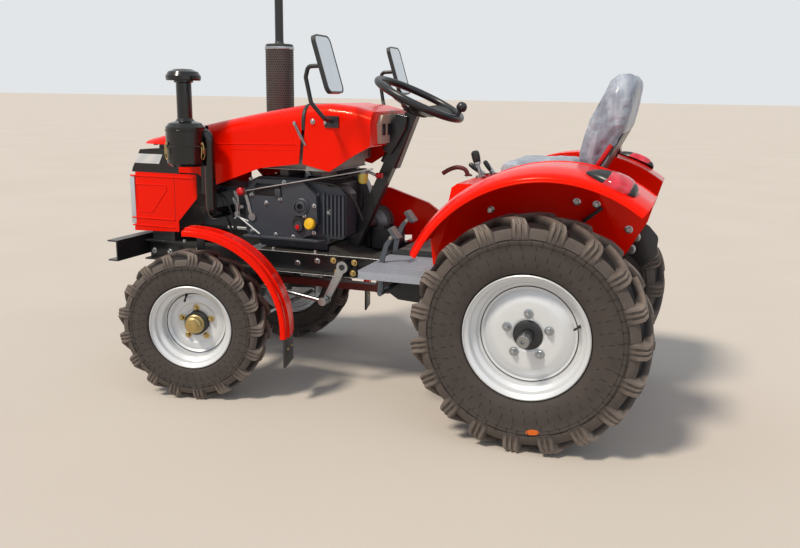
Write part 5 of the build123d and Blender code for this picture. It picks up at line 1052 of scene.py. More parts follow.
latches = []
for way in (1, -1):
    y = way * 233
    ends = Vector((1008, y, 1099)), Vector((955, y, 1004))
    along = (ends[1] - ends[0]).normalized()
    middle = (ends[0] + ends[1]) / 2
    where = facing(tuple(middle), (0, way, 0), tuple(along))
    strap = eased([(-50, -6), (20, -4), (54, -3), (54, 3), (20, 4), (-50, 6)], 3)
    latches.append(plate(strap, 2.2, where, 0.5))
    latches.append(lathe([(0, 0), (7, 0), (7, 5), (5, 7), (0, 7)],
                         where @ Matrix.Translation((-0.040, 0, 0.001)), 20, closed=False))
    loop = [where @ (Vector(p) / 1000) for p in ((-30, 3, 4), (10, 4.5, 6), (50, 3, 3), (50, -3, 3),
                                                 (10, -4.5, 6), (-30, -3, 4))]
    latches.append(sweep(loop, circle(1.4, 8)))
    latches.append(bolt((925, way * 231, 1097), (0, way, 0), 12))
    latches.append(bolt((868, way * 231, 1094), (0, way, 0), 12))
piece("hood_latches", joined("latches", latches), zinc, "chassis")
print("strip points", len(strip), "beads", len(nose), "latch parts", len(latches))

# %% [markdown]
# The headlamp band is one black moulding with a stepped face. Two thin lips divide it, laid by rays
# along the flank of the band.

# %% Headlamp band
lips = []
for way in (1, -1):
    for z, x0, x1 in ((952, 1600, 1700), (896, 1560, 1740)):
        line = [skin("headlamp_band", (x0 + (x1 - x0) * i / 12, way * 400, z), (0, -way, 0))
                for i in range(13)]
        line = [p for p in line if p]
        if len(line) > 2:
            lips.append(bead(line, 2.4))
piece("headlamp_lips", joined("lips", lips), stove_black, "chassis")
print("lips", len(lips))

# %% [markdown]
# ### Air cleaner and exhaust
#
# The oil-bath cleaner is deep-drawn and stoved black. Its bowl hangs from a clamp ring with sprung wire
# bails. Beside it on the far side stands the exhaust in its perforated guard: a thousand and more
# holes, which is exactly the sort of thing the turn-and-climb tree is for.

# %% Cleaner clamp, bails and exhaust guard
axis = Matrix.Translation(at(1440, 325, 0))
ring = lathe([(78, 985), (83.5, 985), (85, 988), (85, 992), (82.5, 994), (82.5, 997), (78, 997)], axis, 96)
lid = lathe([(79.2, 1050), (81.2, 1051), (81.2, 1055), (79.2, 1056)], axis, 96)
piece("cleaner_ring", joined("ring", [ring, lid]), stove_black, "chassis")
bails = []
for turn in (172, 60, -60):
    where = axis @ Matrix.Rotation(radians(turn), 4, "Z")
    wire = [(86, 7, 990), (88, 9, 975), (86, 10, 955), (82.5, 5, 940), (82.5, -5, 940), (86, -10, 955),
            (88, -9, 975), (86, -7, 990)]
    bails.append(sweep([where @ (Vector(p) / 1000) for p in eased(wire, 6, 4, closed=False)], circle(1.7, 8)))
    bails.append(block((10, 16, 3), where @ frame_of(Vector((82, 0, 1002)) / 1000, (1, 0, 0)), 1))
    bails.append(sweep([where @ (Vector(p) / 1000) for p in ((84, 0, 1008), (89, 0, 996), (87, 0, 962))],
                       circle(2.4, 8)))
piece("cleaner_bails", joined("bails", bails), yellow_zinc, "chassis")
rain_cap = [block((2, 22, 1.6), axis @ Matrix.Rotation(2 * pi * i / 24, 4, "Z") @
                  frame_of(Vector((66.5, 0, 1262)) / 1000, (1, 0, 0)), 0.4) for i in range(24)]
piece("rain_cap_ribs", joined("ribs", rain_cap), stove_black, "chassis")

axis = Matrix.Translation(at(1345, -304, 0))
guard = lathe([(63.4, 1037), (63.4, 1408), (60, 1409), (60, 1036)], axis, 72)
piece("exhaust_guard", guard, guard_steel, "chassis")
# each perforation is a thin black disc: painted shade seen through the hole
hole = lathe([(0, 0), (3.9, 0), (3.9, 0.5), (0, 0.5)], frame_of((0.0632, 0, 1.047), (1, 0, 0)), 8,
             closed=False)
piece("guard_holes", ring_of("holes", hole, 36, axis, shade_black, rings=34, rise=10.5, stagger=0.5), shade_black,
      "chassis")
bands = [lathe([(63, z), (66, z), (66.6, z + 2), (66.6, z + 10), (66, z + 12), (63, z + 12)], axis, 72)
         for z in (1036, 1397)]
mouth = lathe([(19, 1660), (21.5, 1660), (21.5, 1680), (19, 1680)], axis, 40)
piece("guard_bands", joined("bands", bands + [mouth]), zinc, "chassis")
print("perforations", 36 * 34, "bail parts", len(bails))

# %% [markdown]
# ### The engine's near side
#
# A single horizontal cylinder in a plain cast block. The cover that faces us carries the starting
# shaft, a filler, the dipstick and the governor's linkage, each a small turned or bent part.

# %% Engine details
COVER_FACE = 184.6
grey, dark, bright, red_bits, yellow_bits, wires = [], [], [], [], [], []
# the pieces in dark are shade black: painted shade in the cover's recess window, the bore of the boss and an
# oval under the red knob
dark.append(plate(eased([(-58, -20), (58, -18), (58, 20), (-58, 22)], 4), 1.2,
                  facing((1155, COVER_FACE, 812), (0, 1, 0), (-1, 0, 0)), 0.3))
grey.append(block((34, 26, 9), facing((1104, COVER_FACE, 805), (0, 1, 0)), 3))
boss = facing((1000, COVER_FACE, 755), (0, 1, 0))
grey.append(lathe([(34, -2), (34, 4), (30, 7), (27, 7), (26, 3), (22, 3), (21, 14), (17, 16), (13, 16),
                   (12, 4)], boss, 48))
dark.append(lathe([(0, 0), (12.5, 0), (12.5, 5), (0, 5)], boss, 32, closed=False))
for x, z in ((1229, 858), (1229, 792), (1097, 780), (1161, 761), (1078, 850), (988, 717), (1230, 700),
             (1230, 640), (1120, 632), (1040, 628), (944, 760), (946, 650)):
    bright.append(bolt((x, COVER_FACE - 0.5, z), (0, 1, 0), 11))
dark.append(lathe([(0, 0), (27, 0), (27, 3), (24, 5), (0, 5)],
                  facing((1013, COVER_FACE, 684), (0, 1, 0)) @ Matrix.Diagonal((1.35, 1, 1, 1)), 40,
                  closed=False))
red_bits.append(lathe([(0, 0), (9, 0), (10, 3), (10, 11), (8, 14), (0, 14)],
                      facing((1012, COVER_FACE + 5, 672), (0, 1, 0)), 24, closed=False))
yellow_bits.append(lathe([(0, -8), (20, -8), (23, -4), (24, 8), (22, 12), (12, 13), (6, 15), (0, 15)],
                         facing((951, COVER_FACE + 22, 690), (0.2, 1, 0.3)), 40, closed=False))
# silver linkage plates and their pivots
link = facing((1283, 200, 712), (0, 1, 0), (0, 0, 1))
bright.append(plate(eased([(-12, -8), (70, -5), (96, 9), (93, 17), (62, 8), (-10, 10)], 5), 3,
                    facing((1283, 198, 712), (0, 1, 0), (0.05, 0, 1)), 0.6))
bright.append(plate(eased([(-10, -9), (36, 14), (58, 40), (50, 46), (26, 24), (-8, 8)], 5), 3,
                    facing((1283, 204, 712), (0, 1, 0), (-0.4, 0, 1)), 0.6))
bright.append(lathe([(0, -30), (6, -30), (6, 6), (13, 6), (13, 10), (8, 10), (8, 17), (0, 17)], link, 24,
                    closed=False))
bright.append(hexagon(15, 8, facing((1262, 203, 742), (0, 1, 0))))
red_bits.append(lathe([(0, 0), (13, 0), (17, 4), (18, 10), (16, 17), (10, 21), (0, 22)],
                      facing((1266, 200, 805), (0, 1, 0)), 12, closed=False))
wires.append(rod([(1300, 206, 690), (1283, 208, 704), (1183, 206, 634)], 3.0, 6))
wires.append(rod([(1283, 206, 700), (1235, 204, 683)], 2.2))
dark_wires = [rod([(1500, 190, 742), (1442, 196, 733), (1290, 204, 712)], 2.0, 20),
              rod([(1420, 150, 800), (1350, 190, 770), (1320, 196, 720), (1300, 190, 640)], 4.5, 30),
              rod([(1470, 120, 830), (1390, 180, 790), (1352, 186, 700), (1340, 150, 610)], 5.5, 40),
              rod([(1000, 120, 868), (960, 170, 858), (860, 150, 846), (800, 120, 800), (770, 90, 700)], 5,
                  50),
              rod([(1010, 90, 868), (950, 150, 876), (850, 165, 870), (760, 60, 900)], 4, 50)]
# upright ribs of the water jacket behind the cover
rib = block((150, 9, 9), facing((986, 149, 740), (0, 1, 0), (0, 0, 1)), 2.5)
grey.append(rows_of("jacket_ribs", rib, 4, 1, (-24, 0), Matrix(), engine_grey))
rib = block((118, 7, 7), facing((880, 146, 738), (0, 1, 0), (0, 0, 1)), 2.5)
grey.append(rows_of("head_ribs", rib, 3, 1, (-22, 0), Matrix(), engine_grey))
bright.append(bolt((892, 152, 734), (0, 1, 0), 14))
# pan and its rail under the cover
grey.append(plate(eased([(-175, -22), (170, -22), (196, 8), (150, 22), (-150, 22)], 6), 12,
                  facing((1095, 176, 612), (0, 0, 1), (-1, 0, 0)), 3))
for name, parts, paint, slot in (("cover_castings", grey, engine_grey, "cast"),
                                 ("cover_recesses", dark, shade_black, "cast"),
                                 ("cover_fasteners", bright, zinc, "steel"),
                                 ("red_knobs", red_bits, signal_red, "black_plastic"),
                                 ("filler_cap", yellow_bits, yellow_cap, "black_plastic"),
                                 ("governor_wires", wires, white_enamel, "steel"),
                                 ("hoses", dark_wires, trim_rubber, "black_plastic")):
    piece(name, joined(name, parts), paint, "chassis")

# fuel filter: amber bowl with a red tap, hung under the cowl
bowl = facing((778, 70, 848), (0, 0, 1), (1, 0, 0))
piece("filter_bowl", lathe([(0, 0), (14, 1), (19, 8), (21, 34), (20, 42), (0, 42)], bowl, 32, closed=False),
      amber_bowl, "chassis")
piece("filter_head", joined("head", [
    lathe([(0, 42), (23, 42), (23, 56), (14, 62), (0, 62)], bowl, 32, closed=False),
    rod([(778, 70, 900), (740, 70, 893), (726, 64, 884)], 6, 10)]), cast_alloy, "chassis")
piece("filter_tap", joined("tap", [
    lathe([(0, 0), (9, 0), (11, 4), (11, 16), (8, 19), (0, 19)], facing((724, 64, 884), (-1, 0, 0)), 20,
          closed=False),
    block((22, 8, 10), facing((704, 64, 884), (-1, 0.1, 0)), 2.5)]), signal_red, "chassis")
print("bolts and plates on the cover", len(bright))

# %% [markdown]
# ### Footplates
#
# Both footplates are chequer plate. Small lozenges lie in rows, every other one turned a quarter, and
# the bent-down outer edge has them too.

# %% Chequer plate and pedal pads
lozenge = plate(eased([(-8.5, 0), (-4, -2.0), (4, -2.0), (8.5, 0), (4, 2.0), (-4, 2.0)], 1.4, 2), 1.1,
                Matrix.Rotation(radians(45), 4, "Z"), 0.4)
chequers = []
for way in (1, -1):
    chequers.append(rows_of("chequer", lozenge, 14, 21, (17.3, way * 16.6), Matrix.Translation(
        at(400, way * 138, 576.9)), plate_grey, turn=90))
    skirt = facing((626, way * 479.8, 563), (0, way, 0), (-1, 0, 0))
    chequers.append(rows_of("chequer", lozenge, 14, 2, (17, -13), skirt @ Matrix.Diagonal((0.8, 0.8, 1, 1)),
                            plate_grey, turn=90))
piece("chequer", joined("chequer", chequers), plate_grey, "chassis")
pads = []
for left, ahead, up in ((292, 560, 690), (98, 564, 728)):
    where = facing((ahead - 7.6, left, up + 6.1), (-0.78, 0, 0.62), (0, 1, 0))
    ridge = block((44, 3.2, 2.6), where @ Matrix.Translation((0, -0.022, 0)), 0.8)
    ridge.transform(where.inverted())
    pads.append(rows_of("ridges", ridge, 1, 8, (0, 6.3), where, pale_plastic))
    pads.append(bolt((ahead + 12, left + 4, up - 16), (0.2, 1, 0), 9))
piece("pedal_pads", joined("pads", pads), pad_grey, "chassis")
print("rows of lozenges", 2 * (21 + 2))

# %% [markdown]
# ### Fenders
#
# A press leaves the rear fenders with a rolled shoulder and a beaded edge. Under them are the ribs, the
# bolts and the struts that carry them. The plain solid is copied, cut across where it should bend, and
# the cuts are drawn down more the further out they lie.

# %% Fender edges, ribs and bolts
ARCH, ARCH_R = (-54, 452), 533  # centre and radius of the wheel arch


def rolled_fender(side_name):
    """The plain fender with its outer shoulder rolled over, as a press leaves it."""
    mesh = nodes["fender_" + side_name].data.copy()
    work = bmesh.new()
    work.from_mesh(mesh)
    bmesh.ops.remove_doubles(work, verts=work.verts, dist=1e-5)
    side = 1 if side_name == "left" else -1
    for left in (455, 470, 485, 500, 512, 524):
        bmesh.ops.bisect_plane(work, geom=work.verts[:] + work.edges[:] + work.faces[:], dist=1e-6,
                               plane_co=(0, side * left / 1000, 0), plane_no=(0, 1, 0))
    for v in work.verts:
        ahead, left, up = v.co.x + (REAR_AXLE - ARCH[0] / 1000), abs(v.co.y) * 1000, v.co.z - ARCH[1] / 1000
        radius = sqrt(ahead ** 2 + up ** 2) * 1000
        if left > 450 and radius > 480:
            fall = 25 * ((left - 450) / 110) ** 1.7 * min(max((radius - 488) / 45, 0), 1)
            v.co.x -= ahead / radius * fall
            v.co.z -= up / radius * fall
    work.to_mesh(mesh)
    work.free()
    made = piece("rolled_fender_" + side_name, mesh, enamel_red, "chassis", sharp=30)
    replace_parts(made, "fender_" + side_name)


rolled_fender("left")
rolled_fender("right")
edges, ribs, nuts, struts = [], [], [], []
for way in (1, -1):
    edges.append(bead(arc(ARCH, ARCH_R - 43.5, 25.3, 126.7, way * 558.2, 60), 3.6))
    edges.append(bead(arc(ARCH, ARCH_R - 0.4, 25.4, 126.6, way * 262, 60), 3.0))
    for turn in (25.5, 126.5):
        end = [centre + (ARCH_R - 1.5) * part
               for centre, part in zip(ARCH, (cos(radians(turn)), sin(radians(turn))))]
        across = [at(end[0], way * y, end[1]) for y in (254, 350, 448)]
        edges.append(bead(across, 3.0))
    for x, z0, z1 in ((88, 790, 948), (-80, 790, 978), (-230, 830, 930)):
        ribs.append(block((z1 - z0, 60, 3), facing((x, way * 252.5, (z0 + z1) / 2), (0, way, 0)), 1.4))
    for turn in (52, 88):
        t = radians(turn)
        middle = (ARCH[0] + (ARCH_R - 4) * cos(t), way * 355, ARCH[1] + (ARCH_R - 4) * sin(t))
        ribs.append(block((26, 190, 12), facing(middle, (-cos(t), 0, -sin(t)), (sin(t), 0, -cos(t))), 3))
    for x, z in ((-107, 846), (-176, 840), (-290, 760), (200, 800), (40, 680), (-120, 680)):
        nuts.append(bolt((x, way * 254.5, z), (0, way, 0), 17))
    struts.append(rod([(-197, way * 268, 832), (-150, way * 266, 792), (-135, way * 262, 779)], 7, 10))
piece("fender_edges", joined("edges", edges), enamel_red, "chassis")
piece("fender_ribs", joined("fender_ribs", ribs), enamel_red, "chassis")
piece("fender_nuts", joined("nuts", nuts), zinc, "chassis")
piece("fender_struts", joined("struts", struts), enamel_black, "chassis")

# front fenders turn with their wheels, so their trims are placed in the wheel's own frame
for side_name, way in SIDES:
    place = FRONT[side_name]
    rear = 1 if way > 0 else -1
    parts = []
    for radius, out_at, thick in ((393.2, -55.5, 3.0), (393.2, 71.5, 2.6), (385.5, -20, 2.2),
                                  (385.5, 36, 2.2)):
        line = [place @ (Vector((rear * radius * cos(radians(t)), radius * sin(radians(t)), out_at)) / 1000)
                for t in [-3.7 + 95.4 * i / 40 for i in range(41)]]
        found = []
        for p in line:
            middle = place @ Vector((0, 0, out_at / 1000))
            away = (p - middle).normalized()
            hit = faces_of("front_fender_" + side_name).ray_cast(middle + away * 0.6, -away)[0]
            if hit and (hit - middle).length > 0.36:
                found.append(hit)
        if len(found) > 3:
            parts.append(bead(found, thick))
    piece("front_fender_beads_" + side_name, joined("beads", parts), enamel_red, "knuckle_" + side_name)
    heads = []
    for out_at in (-22, 34):
        t = radians(-11)
        spot = place @ (Vector((rear * 389 * cos(t), 389 * sin(t), out_at)) / 1000)
        aim = place.to_3x3() @ Vector((rear * cos(t), sin(t), 0))
        heads.append(lathe([(0, -4), (9, -4), (9, 1.5), (6, 2), (6, 6), (4, 8), (0, 8)],
                           frame_of(spot, aim), 20, closed=False))
    piece("flap_bolts_" + side_name, joined("heads", heads), yellow_zinc, "knuckle_" + side_name)
    hangs = place @ frame_of(Vector((rear * 381, -142, 9)) / 1000, (0, 1, 0), (1, 0, 0))
    flap = block((8.6, 125, 118), hangs, 1.6)
    piece("rubber_flap_" + side_name, flap, trim_rubber, "knuckle_" + side_name)
print("edges", len(edges), "ribs", len(ribs), "nuts", len(nuts))

# %% [markdown]
# ### Tail lamps
#
# Each tail lamp is a leaf-shaped moulding: a black nose that points forward, a raked red lens, and a
# black rim. One loft makes both, from a few sections across the lamp.

# %% Tail lamps


def loft(stations, place):
    """Closed skin through rings of equal count."""
    size = len(stations[0])
    points = [p for ring_points in stations for p in ring_points]
    faces = [(i * size + k, i * size + (k + 1) % size, (i + 1) * size + (k + 1) % size, (i + 1) * size + k)
             for i in range(len(stations) - 1) for k in range(size)]
    faces += [tuple(range(size))[::-1], tuple(range((len(stations) - 1) * size, len(stations) * size))]
    return as_mesh("loft", points, faces, place)


def dome(along, half, high, rake, grow=0.0):
    """Section of the lamp: flat below, round above, leaning back by the rake."""
    ring_points = []
    for i in range(17):
        t = pi * i / 16
        y, z = half * cos(t), high * abs(sin(t)) ** 0.55
        wider = (grow if y > 0 else -grow) if abs(y) > 1 else 0
        ring_points.append((along + rake * z, y + wider, z + grow if z > 1 else z))
    return ring_points


housings, lenses = [], []
for way in (1, -1):
    t = radians(111)
    foot = at(ARCH[0] + (ARCH_R - 9) * cos(t), way * 497, ARCH[1] + (ARCH_R - 9) * sin(t))
    place = frame_of(foot, (cos(t) * 0.93, way * 0.37, sin(t) * 0.93), (-sin(t), 0, cos(t)))
    housings.append(loft([dome(x, y, z, 0.2) for x, y, z in (
        (-86, 4, 2), (-74, 14, 12), (-56, 26, 22), (-32, 36, 29), (-4, 42, 32), (26, 44, 31), (52, 42, 27),
        (72, 36, 19), (83, 27, 8), (86, 16, 2))], place))
    lenses.append(loft([dome(x, y, z, 0.55, 1.8) for x, y, z in (
        (-30, 30, 27), (-26, 38, 30.5), (-2, 42.6, 32.4), (24, 44, 31), (46, 42, 26.5), (58, 38, 19),
        (64, 30, 9))], place))
housing = piece("tail_lamp_bodies", joined("bodies", housings), black_plastic, "chassis")
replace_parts(housing, "tail_lamp_housings")
lamp_lens = piece("tail_lamp_shells", joined("shells", lenses), ruby_lens, "chassis", sharp=50)
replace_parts(lamp_lens, "tail_lamp_lenses")

# work lamp behind the seat: glass, bright bezel
t = radians(103)
foot = (ARCH[0] + ARCH_R * cos(t) - 22, -320, ARCH[1] + ARCH_R * sin(t) + 52)
face = facing(foot, (-1, 0, 0))
piece("work_lamp_glass", lathe([(0, -1), (38, -1), (38, 1), (30, 3.5), (16, 5.2), (0, 5.8)], face, 48,
                               closed=False), clear_lens, "chassis")
piece("work_lamp_bezel", lathe([(37, -3), (43, -3), (44, 0), (42, 3), (38, 3.6), (37, 2)], face, 56),
      enamel_black, "chassis")
print("lamp bodies", len(housings), "lenses", len(lenses))

# %% [markdown]
# ### Frame and controls
#
# The rails are black channel, drilled for everything that hangs on them, so most of the detail is bolts
# in rows; a thin steel rod along each edge paints the highlight of the flange. The steering column
# carries its switches in bright rings and a folded box of switchgear under the wheel. A bolt is one
# function, called with a list of places.

# %% Rails, steering and column
# painted highlights: thin bare-steel rods along the rails' top and lower edges stand for light caught on the
# flanges
edge_highlights = [rod([(x0, way * 225.6, z), (x1, way * 225.6, z)], 1.3) for way in (1, -1)
        for x0, x1, z in ((640, 1250, 572), (700, 1180, 488))]
piece("rail_edge_highlights", joined("edge_highlights", edge_highlights), bare_steel, "chassis")
RAIL_SIDE = 225.2
yellow, plain = [], []
for x, z in ((751, 550), (757, 507), (826, 506), (842, 552)):
    yellow.append(bolt((x, RAIL_SIDE, z), (0, 1, 0), 15))
for way in (1, -1):
    for x, z in ((1690, 530), (1610, 530), (1470, 546), (1210, 545), (1000, 530), (912, 545), (640, 530),
                 (560, 530)):
        plain.append(bolt((x, way * RAIL_SIDE, z), (0, way, 0), 14))
    for x in (1651, 1548, 1120, 930):
        plain.append(bolt((x, way * 205, 573.2), (0, 0, 1), 13))
piece("frame_bolts_yellow", joined("yb", yellow), yellow_zinc, "chassis")
piece("frame_bolts", joined("fb", plain), zinc, "chassis")
WHEEL_CENTRE = (566, 0, 1188)
COLUMN_UP, COLUMN_AHEAD = Vector((-0.4147, 0, 0.91)), Vector((0.91, 0, 0.4147))
base = Vector(WHEEL_CENTRE) - COLUMN_UP * 64
switches, bright = [], []
for along_y, size in ((-24, 11), (2, 9), (25, 10)):
    spot = base + COLUMN_AHEAD * 26
    place = facing((spot.x, along_y, spot.z), COLUMN_UP, (0, 1, 0))
    switches.append(lathe([(0, -2), (size, -2), (size, 10), (size * 0.8, 13), (0, 13)], place, 20,
                          closed=False))
    bright.append(lathe([(size, -1), (size + 3, -1), (size + 3, 2), (size, 3)], place, 24))
for along_y, up_by in ((-22, 40), (20, 40), (0, 92)):
    spot = base - COLUMN_UP * up_by + COLUMN_AHEAD * 36
    place = facing((spot.x, along_y, spot.z), COLUMN_AHEAD)
    switches.append(block((26, 18, 6), place, 2.5))
piece("column_switches", joined("sw", switches), black_plastic, "chassis")
piece("column_bezels", joined("bz", bright), zinc, "chassis")
squares = []
for y in (-120, -60, 60, 120):
    squares.append(block((44, 34, 2.5), facing((671.5, y, 1070), (-1, 0, 0)), 2))
piece("dash_squares", joined("squares", squares), black_plastic, "chassis")
shell = plate([(646, 1126), (600, 1118), (607, 1070), (640, 1010), (668, 968), (700, 984), (704, 1046)], 104,
              frame_of(at(0, 52, 0), (0, -1, 0), (1, 0, 0)), 5)
piece("switch_box", shell, black_plastic, "chassis")
piece("switch_box_trim", joined("trim", [
    rod([(601, y, 1119.5), (646, y, 1127.5)], 1.6) for y in (-47, 47)] + [
    rod([(646, -47, 1127.5), (646, 47, 1127.5)], 1.6)]), zinc, "chassis")
print("frame bolts", len(yellow) + len(plain), "switches", len(switches))

# %% [markdown]
# The steering wheel is moulded round a steel core: a thick rim ribbed below for the fingers, three wide
# spokes that dive to a deep hub, and a spinner knob. The levers on the deck have turned black grips.

# %% Steering wheel and levers
column_top = frame_of(at(*WHEEL_CENTRE), COLUMN_UP, -COLUMN_AHEAD)
rim_section = [(180 + 14 * cos(2 * pi * i / 18), 15 * sin(2 * pi * i / 18)) for i in range(18)]
wheel_parts = [lathe(rim_section, column_top, 96)]
grip = lathe([(0, -2.2), (4.2, -2.2), (4.2, 0), (3, 1.6), (0, 2)], frame_of(Vector((180, 0, -15)) / 1000,
                                                                       (0, 0, -1)), 10, closed=False)
wheel_parts.append(ring_of("grips", grip, 72, column_top, black_plastic))
wheel_parts.append(lathe([(0, -22), (46, -22), (58, -27), (64, -37), (56, -54), (42, -60), (0, -60)],
                         column_top, 48, closed=False))
wheel_parts.append(lathe([(0, -18), (30, -18), (34, -21), (34, -24), (0, -24)], column_top, 40, closed=False))
for number in range(3):
    turn = Matrix.Rotation(2 * pi * number / 3 + pi / 3, 4, "Z")
    wide = []
    for r, z, half, thick in ((40, -43, 38, 14), (75, -38, 50, 11), (115, -26, 54, 11), (150, -12, 50, 11),
                              (172, -3, 52, 12)):
        wide.append([(r, half * cos(2 * pi * k / 16), z + thick / 2 * sin(2 * pi * k / 16))
                     for k in range(16)])
    wheel_parts.append(loft(wide, column_top @ turn))
spinner = lathe([(0, 0), (8, 0), (8, 24), (14, 26), (19, 31), (21, 38), (20, 47), (16, 55), (9, 60), (0, 61)],
                column_top @ Matrix.Rotation(radians(-10), 4, "Z") @ Matrix.Translation((0.181, 0, 0.01)), 28,
                closed=False)
wheel_parts.append(spinner)
wheel = piece("moulded_steering_wheel", joined("wheel", wheel_parts), black_plastic, "steering_wheel")
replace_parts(wheel, "steering_wheel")

grips = []
for ahead, left, top, lean, size in ((305, 0, 990, 28, 16), (322, -120, 930, 60, 10),
                                     (290, -160, 940, 40, 10)):
    tip = Vector((ahead + lean, left, top))
    direction = (tip - Vector((ahead, left, 888))).normalized()
    start = tip - direction * 52
    grips.append(lathe([(0, -1), (size * 0.62, -1), (size * 0.9, 8), (size * 1.05, 30), (size, 48),
                        (size * 0.6, 55), (0, 56)], facing(tuple(start), tuple(direction), (1, 0, 0)), 28,
                       closed=False))
piece("lever_grips", joined("grips", grips), black_plastic, "chassis")
handle = eased([(372, -62, 886), (384, -62, 914), (420, -62, 922), (456, -62, 908), (480, -62, 892)], 26, 6,
               closed=False)
collar = lathe([(0, 0), (16, 0), (16, 4), (10, 8), (0, 8)], facing((372, -62, 887), (0, 0, 1), (1, 0, 0)), 24,
               closed=False)
piece("brake_handle", joined("handle", [sweep([at(*p) for p in handle], circle(9, 16)), collar]), dark_red,
      "chassis")

# bracket for an implement behind the deck, with its two nuts
hitch = plate(eased([(x, -z) for x, z in ((-250, 740), (-338, 738), (-382, 690), (-376, 612), (-330, 566),
                                          (-290, 604), (-250, 640))], 14, 4), 8,
              frame_of(at(0, -60, 0), (0, 1, 0), (1, 0, 0)), 1.2)
piece("rear_bracket", hitch, enamel_black, "chassis")
piece("rear_bracket_nuts", joined("nuts", [bolt((-298, -52, 686), (0, 1, 0), 22),
                                           bolt((-283, -52, 638), (0, 1, 0), 22)]), zinc, "chassis")

# the seat's pressed shell: a pan under the cushion and a plate up the back
shell = plate([(186, 913), (150, 889), (-138, 889), (-164, 930), (-244, 1084), (-239, 1087), (-157, 932),
               (-132, 898), (146, 898), (181, 917)], 340, frame_of(at(0, 170, 0), (0, -1, 0), (1, 0, 0)), 1.6)
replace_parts(piece("seat_shell", shell, enamel_black, "chassis"), "seat_pan")

# %% [markdown]
# ## The seat
#
# A block of foam is a cushion only after something has pushed it from inside. Each pad starts as a
# copy of its plain solid, a little smaller, remeshed fine, with its corners drawn in. Then it is blown
# up as cloth for twenty frames, and no point may travel far. The polythene over it is cut last, as
# folds: a ridged noise lifts each point a few millimetres, and the same number paints a highlight on the
# fold.

# %% Pads blown up as cloth


def evaluated(holder):
    """Mesh of an object with its modifiers, which come off."""
    state = bpy.context.evaluated_depsgraph_get()
    mesh = bpy.data.meshes.new_from_object(holder.evaluated_get(state))
    holder.modifiers.clear()
    return mesh


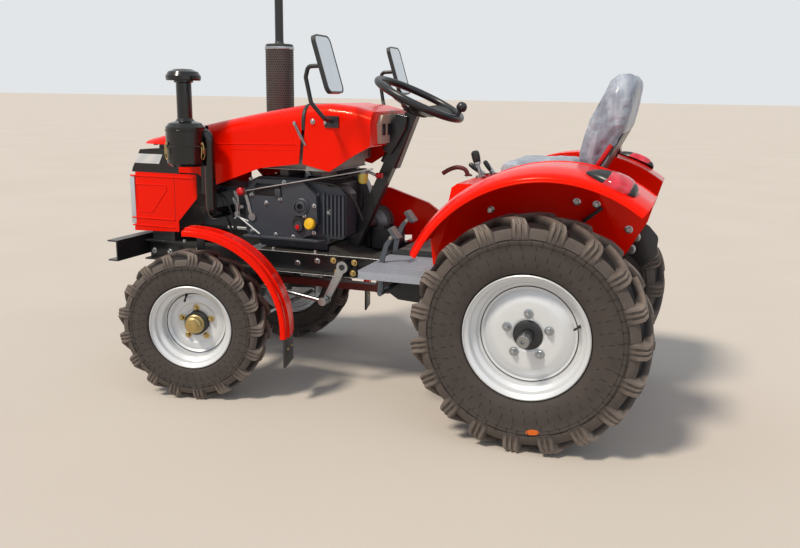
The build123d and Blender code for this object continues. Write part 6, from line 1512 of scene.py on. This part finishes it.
def pad(name, node, shape, travel, wrap):
    """Padded piece from a plain solid; shape moves a place before it is blown up, wrap draws the folds."""
    mesh = nodes[node].data.copy()
    work = bmesh.new()
    work.from_mesh(mesh)
    bmesh.ops.remove_doubles(work, verts=work.verts, dist=1e-5)
    middle = sum((v.co for v in work.verts), Vector()) / len(work.verts)
    for v in work.verts:
        v.co = middle + (v.co - middle) * 0.965
    bmesh.ops.recalc_face_normals(work, faces=work.faces)
    work.to_mesh(mesh)
    work.free()
    holder = bpy.data.objects.new(name, mesh)
    scene.collection.objects.link(holder)
    remesh = holder.modifiers.new("remesh", "REMESH")
    remesh.mode = "VOXEL"
    remesh.voxel_size = 0.006
    holder.data = evaluated(holder)
    for v in holder.data.vertices:
        v.co = shape(v.co)
    start = [v.co.copy() for v in holder.data.vertices]
    cloth = holder.modifiers.new("cloth", "CLOTH")
    cloth.settings.use_pressure = True
    cloth.settings.uniform_pressure_force = 4
    cloth.settings.effector_weights.gravity = 0
    cloth.settings.quality = 6
    for number in range(1, 21):
        scene.frame_set(number)
    holder.data = evaluated(holder)
    scene.frame_set(1)
    for v, home in zip(holder.data.vertices, start):
        moved = v.co - home
        if moved.length > travel / 1000:
            v.co = home + moved.normalized() * travel / 1000
    finer = holder.modifiers.new("finer", "SUBSURF")
    finer.levels = finer.render_levels = 1
    mesh = evaluated(holder)
    bpy.data.objects.remove(holder)
    folds = []
    normals = [v.normal.copy() for v in mesh.vertices]
    for v, normal in zip(mesh.vertices, normals):
        spot = Vector((v.co.x * wrap[0], v.co.y * wrap[1], v.co.z * wrap[2]))
        warp = noise.noise_vector(spot * 0.55) * 0.8
        ridge = noise.ridged_multi_fractal(spot + warp, 1.1, 2.1, 3, 1.0, 2.0) / 2.6
        fine = noise.ridged_multi_fractal(spot * 2.3 + warp * 2, 1.0, 2.0, 2, 1.0, 2.0) / 2.6
        folds.append(min(max(0.72 * ridge + 0.28 * fine, 0), 1))
        v.co += normal * (folds[-1] - 0.45) * 0.009
    # fold lifts the film and, in its material, paints a highlight along each fold
    fold = mesh.attributes.new("fold", "FLOAT", "POINT")
    fold.data.foreach_set("value", folds)
    made = piece(name, mesh, seat_film, "chassis", sharp=70)
    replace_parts(made, node)


def back_width(height):
    """Half width of the seat's back in mm: full to four fifths of its height, then a rounded top."""
    t = (height - 936) / 366
    return 201 + 4 * sin(pi * min(max(t, 0), 1)) - 46 * (max(t - 0.72, 0) / 0.28) ** 1.8


def back_shape(p):
    """Narrows the top of the seat's back."""
    ahead, left, up = (p.x + REAR_AXLE) * 1000, p.y * 1000, p.z * 1000
    left *= back_width(up) / 202
    high = min(max((up - 1110) / 180, 0), 1)
    middle = -189 - (0.34 if up > 1120 else 0.46) * (up - 1120)
    lead = min(max((ahead - middle) / 25, -1), 1)
    ahead += (18 * lead if lead > 0 else 8 * lead) * high
    if lead > 0:
        ahead -= 8 * lead * min(max((1060 - up) / 90, 0), 1)
    return at(ahead, left, up)


def cushion_shape(p):
    t = ((p.x + REAR_AXLE) * 1000 + 110) / 310
    share = 0.99 - 0.14 * (max(t - 0.7, 0) / 0.3) ** 2 - 0.08 * max(0.2 - t, 0) / 0.2
    return Vector((p.x, p.y * share, p.z))


pad("seat_back_pad", "seat_back", back_shape, 9, (16, 7, 5))
pad("seat_cushion_pad", "seat_cushion", cushion_shape, 11, (7, 14, 9))

# %% [markdown]
# Behind the film the back ends in a red side band with a black piping beside it. Both climb the rear
# corner of the back on each side, so one eased line serves the two, the piping set a little behind.

# %% Piping and red edge
bands, pipes = [], []
for way in (1, -1):
    line = eased([(-146, way * 207, 945), (-181, way * 210, 1000), (-207, way * 211, 1044)], 20, 4,
                 closed=False)
    bands.append(sweep([at(*p) for p in line], [(-4, -7), (3, -7), (5, 0), (3, 7), (-4, 7)],
                       tilt=(1, 0, 0.5)))
    line = [(x - 7.5, y - way * 3, z - 4) for x, y, z in line]
    pipes.append(sweep([at(*p) for p in line], circle(4.2, 10)))
piece("seat_piping", joined("pipes", pipes), vinyl_black, "chassis")
piece("seat_red_band", joined("bands", bands), signal_red, "chassis")
print("bands and pipes", len(bands) + len(pipes))
